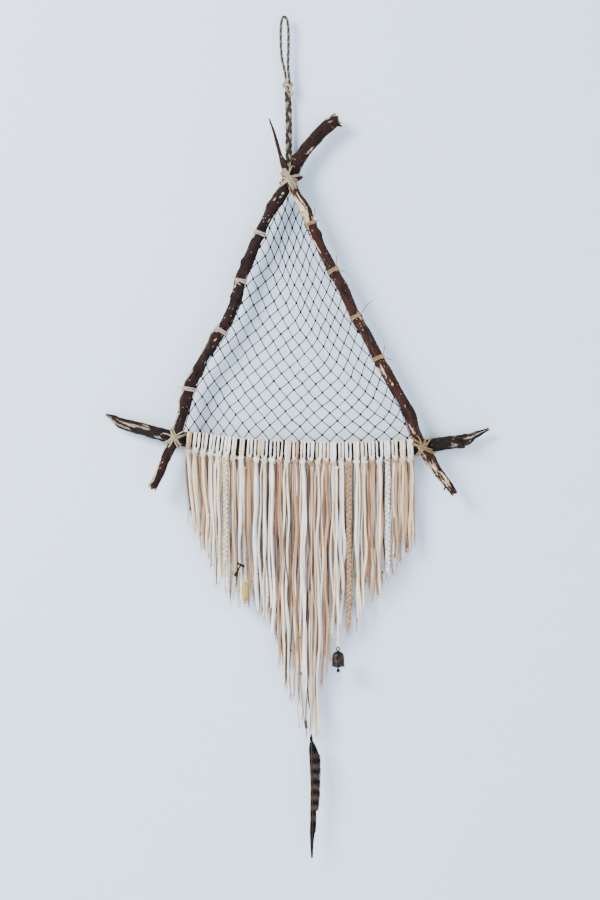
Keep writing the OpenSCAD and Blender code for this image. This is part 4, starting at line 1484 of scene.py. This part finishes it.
class HANGING_OT_bell(bpy.types.Operator):
    """Make the cast bell with its rim, and finish its loop and clapper"""
    bl_idname = "hanging.bell"
    bl_label = "Bell"

    def execute(self, context):
        low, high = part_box("bell_shell")
        r, h = (high.x - low.x) / 2 / MM, (high.z - low.z) / MM
        # shares of the bell's radius and height, down the outside and up the inside
        outer = ((0.10, 0.0), (0.28, 0.012), (0.52, 0.055), (0.70, 0.12), (0.83, 0.20), (0.90, 0.29),
                 (0.93, 0.40), (0.935, 0.52), (0.94, 0.62), (0.965, 0.635), (0.965, 0.665), (0.94, 0.68),
                 (0.945, 0.80), (0.97, 0.90), (1.0, 0.965), (1.0, 1.0))
        inner = ((0.93, 1.0), (0.89, 0.93), (0.84, 0.80), (0.82, 0.50), (0.76, 0.24), (0.60, 0.125),
                 (0.36, 0.06), (0.10, 0.05))
        bell = outline_up([(r * MM * a, -h * MM * b) for a, b in outer + inner], 72)
        outward(bell)
        for v in bell.data.vertices:
            # four shallow scallops round the mouth
            low_part = smoothstep(0.62 * h * MM, h * MM, -v.co.z)
            v.co.z += 1.1 * MM * low_part ** 2 * (0.5 - 0.5 * math.cos(4 * math.atan2(v.co.y, v.co.x) + 0.7))
        bell.name = "cast_bell"
        bell.location = ((low.x + high.x) / 2, (low.y + high.y) / 2, high.z)
        place_done(bell, material("bronze"))
        bpy.ops.object.shade_smooth_by_angle(angle=math.radians(40))
        settle(bell, "bell", "bronze", "bell_shell")
        keep("bell_loop", "bronze")
        keep("bell_clapper", "iron")
        return {"FINISHED"}


class HANGING_OT_charm(bpy.types.Operator):
    """Make the iron charm: a crossbar, and a stem with a bulb at its end"""
    bl_idname = "hanging.charm"
    bl_label = "Charm"

    def execute(self, context):
        low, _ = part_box("charm")
        top = middle("charm_ring")
        bulb = Vector((low.x, top.y, low.z)) + mm(2.6, 0, 2.6)
        way = (bulb - top).normalized()
        across = BACK.cross(way).normalized()
        bar = top + way * 3.6 * MM
        parts = []
        for start, end, radius in ((bar - across * 4 * MM, bar + across * 4 * MM, 1.25), (bar - way * MM, bulb, 1.1)):
            bpy.ops.object.select_all(action="DESELECT")
            turn = (end - start).to_track_quat("Z", "Y").to_euler()
            bpy.ops.mesh.primitive_cylinder_add(vertices=20, radius=radius * MM, depth=(end - start).length,
                                                location=(start + end) / 2, rotation=turn)
            parts.append(bpy.context.active_object)
        knobs = ((bulb, 2.6), (bar - across * 3.7 * MM, 1.6), (bar + across * 3.7 * MM, 1.6), (bar, 1.8),
                 (bulb - way * 2.6 * MM, 1.9))
        for place, radius in knobs:
            bpy.ops.object.select_all(action="DESELECT")
            bpy.ops.mesh.primitive_uv_sphere_add(segments=20, ring_count=12, radius=radius * MM, location=place)
            parts.append(bpy.context.active_object)
        bpy.ops.object.select_all(action="DESELECT")
        for part in parts:
            part.select_set(True)
        bpy.context.view_layer.objects.active = parts[0]
        bpy.ops.object.join()
        charm = bpy.context.active_object
        charm.name = "iron_charm"
        place_done(charm)
        apply_modifier(charm, "REMESH", mode="VOXEL", voxel_size=0.28 * MM)
        charm.data.materials.clear()
        charm.data.materials.append(material("iron"))
        only(charm)
        bpy.ops.object.shade_smooth()
        settle(charm, "charm", "iron", "charm")
        keep("charm_ring", "silver")
        return {"FINISHED"}


class HANGING_OT_beads(bpy.types.Operator):
    """Make the amber glass bead and the black tube bead, each with its bore"""
    bl_idname = "hanging.beads"
    bl_label = "Beads"

    def execute(self, context):
        low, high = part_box("glass_bead")
        r, h, bore = (high.x - low.x) / 2, high.z - low.z, 1.1 * MM
        shape = ((0.52, 0.0), (0.66, 0.012), (0.76, 0.06), (0.88, 0.16), (0.96, 0.30), (1.0, 0.5), (0.96, 0.70),
                 (0.88, 0.84), (0.76, 0.94), (0.66, 0.988), (0.52, 1.0))
        profile = [(bore, 0)] + [(r * a, -h * b) for a, b in shape] + [(bore, -h), (bore, -h * 0.5), (bore, 0)]
        bead = outline_up(profile, 48)
        outward(bead)
        bead.name = "amber_bead"
        bead.location = ((low.x + high.x) / 2, (low.y + high.y) / 2, high.z)
        place_done(bead, material("glass"))
        amber = hue("amber")
        # painted shade: the bead's tint darkens towards its ends
        dark = tuple(c * 0.5 for c in amber[:3])
        middle_z, half = (low.z + high.z) / 2, h / 2

        def amber_with_painted_end_shade(place):
            share = smoothstep(0.78, 1.0, abs(place.z - middle_z) / half) * 0.75
            return [a + (b - a) * share for a, b in zip(amber, dark)] + [1.0]
        paint(bead, amber_with_painted_end_shade)
        bpy.ops.object.shade_smooth_by_angle(angle=math.radians(50))
        settle(bead, "bead", "amber_glass", "glass_bead")

        centre = middle("tube_bead")
        heading = (mm(*TUBE_BEAD_ROUTE[-1]) - mm(*TUBE_BEAD_ROUTE[-2])).normalized()
        low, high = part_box("tube_bead")
        radius = (high.y - low.y) / 2
        length = (high.z - low.z - 2 * radius * abs(heading.x)) / abs(heading.z)
        shape = ((0.78, 0.0), (0.94, 0.02), (1.0, 0.08), (0.97, 0.5), (1.0, 0.92), (0.94, 0.98), (0.78, 1.0))
        bore = 0.7 * MM
        profile = [(bore, 0)] + [(radius * a, -length * b) for a, b in shape] + [(bore, -length), (bore, 0)]
        tube = outline_up(profile, 40)
        outward(tube)
        tube.name = "black_tube_bead"
        tube.rotation_euler = (-heading).to_track_quat("Z", "Y").to_euler()
        tube.location = centre - heading * length / 2
        place_done(tube, material("ceramic"))
        bpy.ops.object.shade_smooth_by_angle(angle=math.radians(50))
        settle(tube, "fringe_3", "black_ceramic", "tube_bead")
        return {"FINISHED"}


# ---------------------------------------------------------------- feather

# Distance below the top of the vane in mm, and the vane's half widths there, left and right, in mm
VANE = ((0, 1.5, 3.0), (6, 2.8, 7.0), (12, 3.0, 11.4), (29, 2.4, 10.4), (42, 2.0, 9.8), (54, 1.8, 9.2),
        (67, 2.0, 8.4), (75, 2.1, 7.6), (79, 2.2, 4.8), (89, 2.4, 4.8), (103, 2.8, 4.3), (109, 2.8, 2.8),
        (121, 2.2, 1.6), (133, 1.4, 1.0), (141, 0.9, 0.8))
VANE_LENGTH = VANE[-1][0]
# Barbs on each side, the place of the last one in mm, and the height of a pair of bars in mm
BARBS = 118
LAST_BARB = 137.0
BAR_PITCH = 12.5


def vane_at(down, side):
    for (a, *v), (b, *w) in zip(VANE, VANE[1:]):
        if down <= b:
            return (v[side] + (w[side] - v[side]) * (down - a) / (b - a)) * MM
    return VANE[-1][1 + side] * MM


class HANGING_OT_feather(bpy.types.Operator):
    """Make the barred feather: its quill, its barbs, and the thread that binds it"""
    bl_idname = "hanging.feather"
    bl_label = "Feather"

    def execute(self, context):
        rng = random.Random(41)
        dark, light = hue("feather_dark"), hue("feather_light")
        low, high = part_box("feather_shaft")
        x, y, scale = (low.x + high.x) / 2, (low.y + high.y) / 2, sizes().feather_length / FEATHER_LENGTH

        def quill_at(z):
            down = (high.z - z) / MM
            return Vector((x + 1.3 * MM * math.sin(down / 62), y + 0.5 * MM * math.sin(down / 40), z))

        count = 40
        line = [quill_at(high.z + (low.z - high.z) * k / count) for k in range(count + 1)]
        skein = Skein()
        skein.strand(line, lambda t: (2.1 - 1.6 * t ** 0.8) * MM, linear("#3c3026"), sides=10)
        weave(skein, "feather_quill", "keratin", "feather", "quill", "feather_shaft")

        _, vane_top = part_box("feather_vane")
        share = sizes().feather_width / FEATHER_WIDTH
        skein = Skein()
        for side, way in ((0, -1), (1, 1)):
            for k in range(BARBS):
                down = LAST_BARB * (k / (BARBS - 1)) ** 0.97
                half = vane_at(min(down + 4, VANE_LENGTH), side) * share * rng.uniform(0.93, 1.05)
                root = quill_at(vane_top.z - down * scale * MM)
                drop = half * (0.95 + 0.9 * down / VANE_LENGTH) + 1.2 * MM
                if vane_top.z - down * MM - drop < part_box("feather_vane")[0].z - 3 * MM:
                    drop *= 0.5
                lift = rng.uniform(-0.25, 0.25) * MM
                line = []
                for t in (0, 0.3, 0.65, 1.0):
                    curl = lift * t - 0.35 * MM * math.sin(t * 3) * way * 0.4
                    line.append(root + Vector((way * half * t ** 0.85, curl, -drop * t ** 1.25)))

                def bars(t, root=root, drop=drop, down=down):
                    z = down + 4.2 + drop / MM * t * 0.9 + 0.7 * noise.noise(Vector((down * 0.6, side * 5, t * 2)))
                    wave = (z % BAR_PITCH) / BAR_PITCH
                    shade = smoothstep(0.5, 0.6, wave) * (1 - smoothstep(0.9, 1.0, wave))
                    shade *= (1 - smoothstep(80, 100, down) * 0.85) * (0.45 + 0.55 * smoothstep(8, 30, down))
                    return [a + (b - a) * shade for a, b in zip(dark, light)]
                skein.strand(line, lambda t: (1.75 - 1.1 * t) * MM, bars, 0.16 * MM, sides=4, across=DOWN)
        # loose down at the top of the vane
        for _ in range(70):
            root = quill_at(vane_top.z - rng.uniform(-3, 5) * MM)
            out = Vector((rng.uniform(-2.2, 3.6), rng.uniform(-0.8, 0.5), rng.uniform(-9, -3))) * MM
            line = [root, root + out * 0.5 + mm(0, 0, rng.uniform(-0.8, 0.8)), root + out]
            skein.strand(line, 0.5 * MM, varied(rng, dark, 0.4), sides=3)
        weave(skein, "feather_barbs", "keratin", "feather", "feather_barbs", "feather_vane")

        low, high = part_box("feather_binding")
        skein = Skein()
        turns = 5
        pitch = (high.z - low.z - 1 * MM) / turns
        for k in range(turns):
            centre = quill_at(high.z - 1 * MM - pitch * (k + 0.5))
            ring = [centre + Vector((math.cos(a), math.sin(a), 0.12 * math.sin(a))) * 1.5 * MM
                    for a in (math.tau * j / 18 for j in range(18))]
            skein.strand(ring, 0.9 * MM, varied(rng, hue("net"), 0.3), sides=6, across=UP, closed=True)
        knot(skein, quill_at(high.z - 2 * MM) + mm(0, -1.8, 0), 2.6 * MM, hue("net"), rng)
        weave(skein, "feather_whipping", "net", "feather", "net_thread", "feather_binding")
        return {"FINISHED"}


# ---------------------------------------------------------------- stage

class HANGING_OT_stage(bpy.types.Operator):
    """Put up the walls and the floor of a plain room, and the soft lights"""
    bl_idname = "hanging.stage"
    bl_label = "Stage"

    def execute(self, context):
        quarter = math.radians(90)
        rows = (
            ("stage_wall", (0, WALL_Y, -0.5), (quarter, 0, 0)), ("stage_floor", (0, -3.4, -1.9), (0, 0, 0)),
            ("stage_left", (-3.5, -3.4, -0.5), (0, quarter, 0)), ("stage_right", (3.5, -3.4, -0.5), (0, -quarter, 0)),
            ("stage_front", (0, -6.9, -0.5), (-quarter, 0, 0)),
        )
        for name, place, turn in rows:
            bpy.ops.object.select_all(action="DESELECT")
            bpy.ops.mesh.primitive_plane_add(size=7, location=place, rotation=turn)
            plane = bpy.context.active_object
            plane.name = name
            plane.data.materials.append(material("wall"))
        lights = (
            ("key_light", (-1.9, -1.9, 0.9), 1.2, 182.0, (1.0, 0.985, 0.965)),
            ("fill_light", (1.6, -2.4, -0.5), 3.0, 78.0, (0.94, 0.97, 1.0)),
            ("low_light", (-1.4, -2.0, -1.5), 2.0, 40.0, (0.95, 0.97, 1.0)),
        )
        aim = Vector((0.02, 0, -0.5))
        for name, place, size, power, colour in lights:
            data = bpy.data.lights.new(name, "AREA")
            data.shape, data.size, data.energy, data.color = "SQUARE", size, power, colour
            light = bpy.data.objects.new(name, data)
            light.location = place
            light.rotation_euler = (aim - Vector(place)).to_track_quat("-Z", "Y").to_euler()
            bpy.context.collection.objects.link(light)
        return {"FINISHED"}


# ---------------------------------------------------------------- panel and start

OPERATORS = (
    HANGING_OT_camera, HANGING_OT_hanger, HANGING_OT_pendant_cords, HANGING_OT_fringe, HANGING_OT_fringe_loops,
    HANGING_OT_sticks, HANGING_OT_net, HANGING_OT_lashings, HANGING_OT_ties, HANGING_OT_bell, HANGING_OT_charm,
    HANGING_OT_beads, HANGING_OT_feather, HANGING_OT_stage,
)


class HANGING_PT_panel(bpy.types.Panel):
    """Lists the hanging's sizes, its colours and its pieces"""
    bl_idname = "HANGING_PT_panel"
    bl_label = "Wall Hanging"
    bl_space_type = "VIEW_3D"
    bl_region_type = "UI"
    bl_category = "Hanging"

    def draw(self, context):
        for settings in (context.scene.hanging_sizes, context.scene.hanging_colours):
            for key in type(settings).__annotations__:
                self.layout.prop(settings, key)
        for operator in OPERATORS:
            self.layout.operator(operator.bl_idname)


CLASSES = (HangingSizes, HangingColours, *OPERATORS, HANGING_PT_panel)


def register():
    for cls in CLASSES:
        bpy.utils.register_class(cls)
    bpy.types.Scene.hanging_sizes = bpy.props.PointerProperty(type=HangingSizes)
    bpy.types.Scene.hanging_colours = bpy.props.PointerProperty(type=HangingColours)


def unregister():
    del bpy.types.Scene.hanging_colours
    del bpy.types.Scene.hanging_sizes
    for cls in reversed(CLASSES):
        bpy.utils.unregister_class(cls)


def main():
    register()
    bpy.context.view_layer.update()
    for operator in OPERATORS:
        area, _, name = operator.bl_idname.partition(".")
        getattr(getattr(bpy.ops, area), name)()


if __name__ == "__main__":
    main()
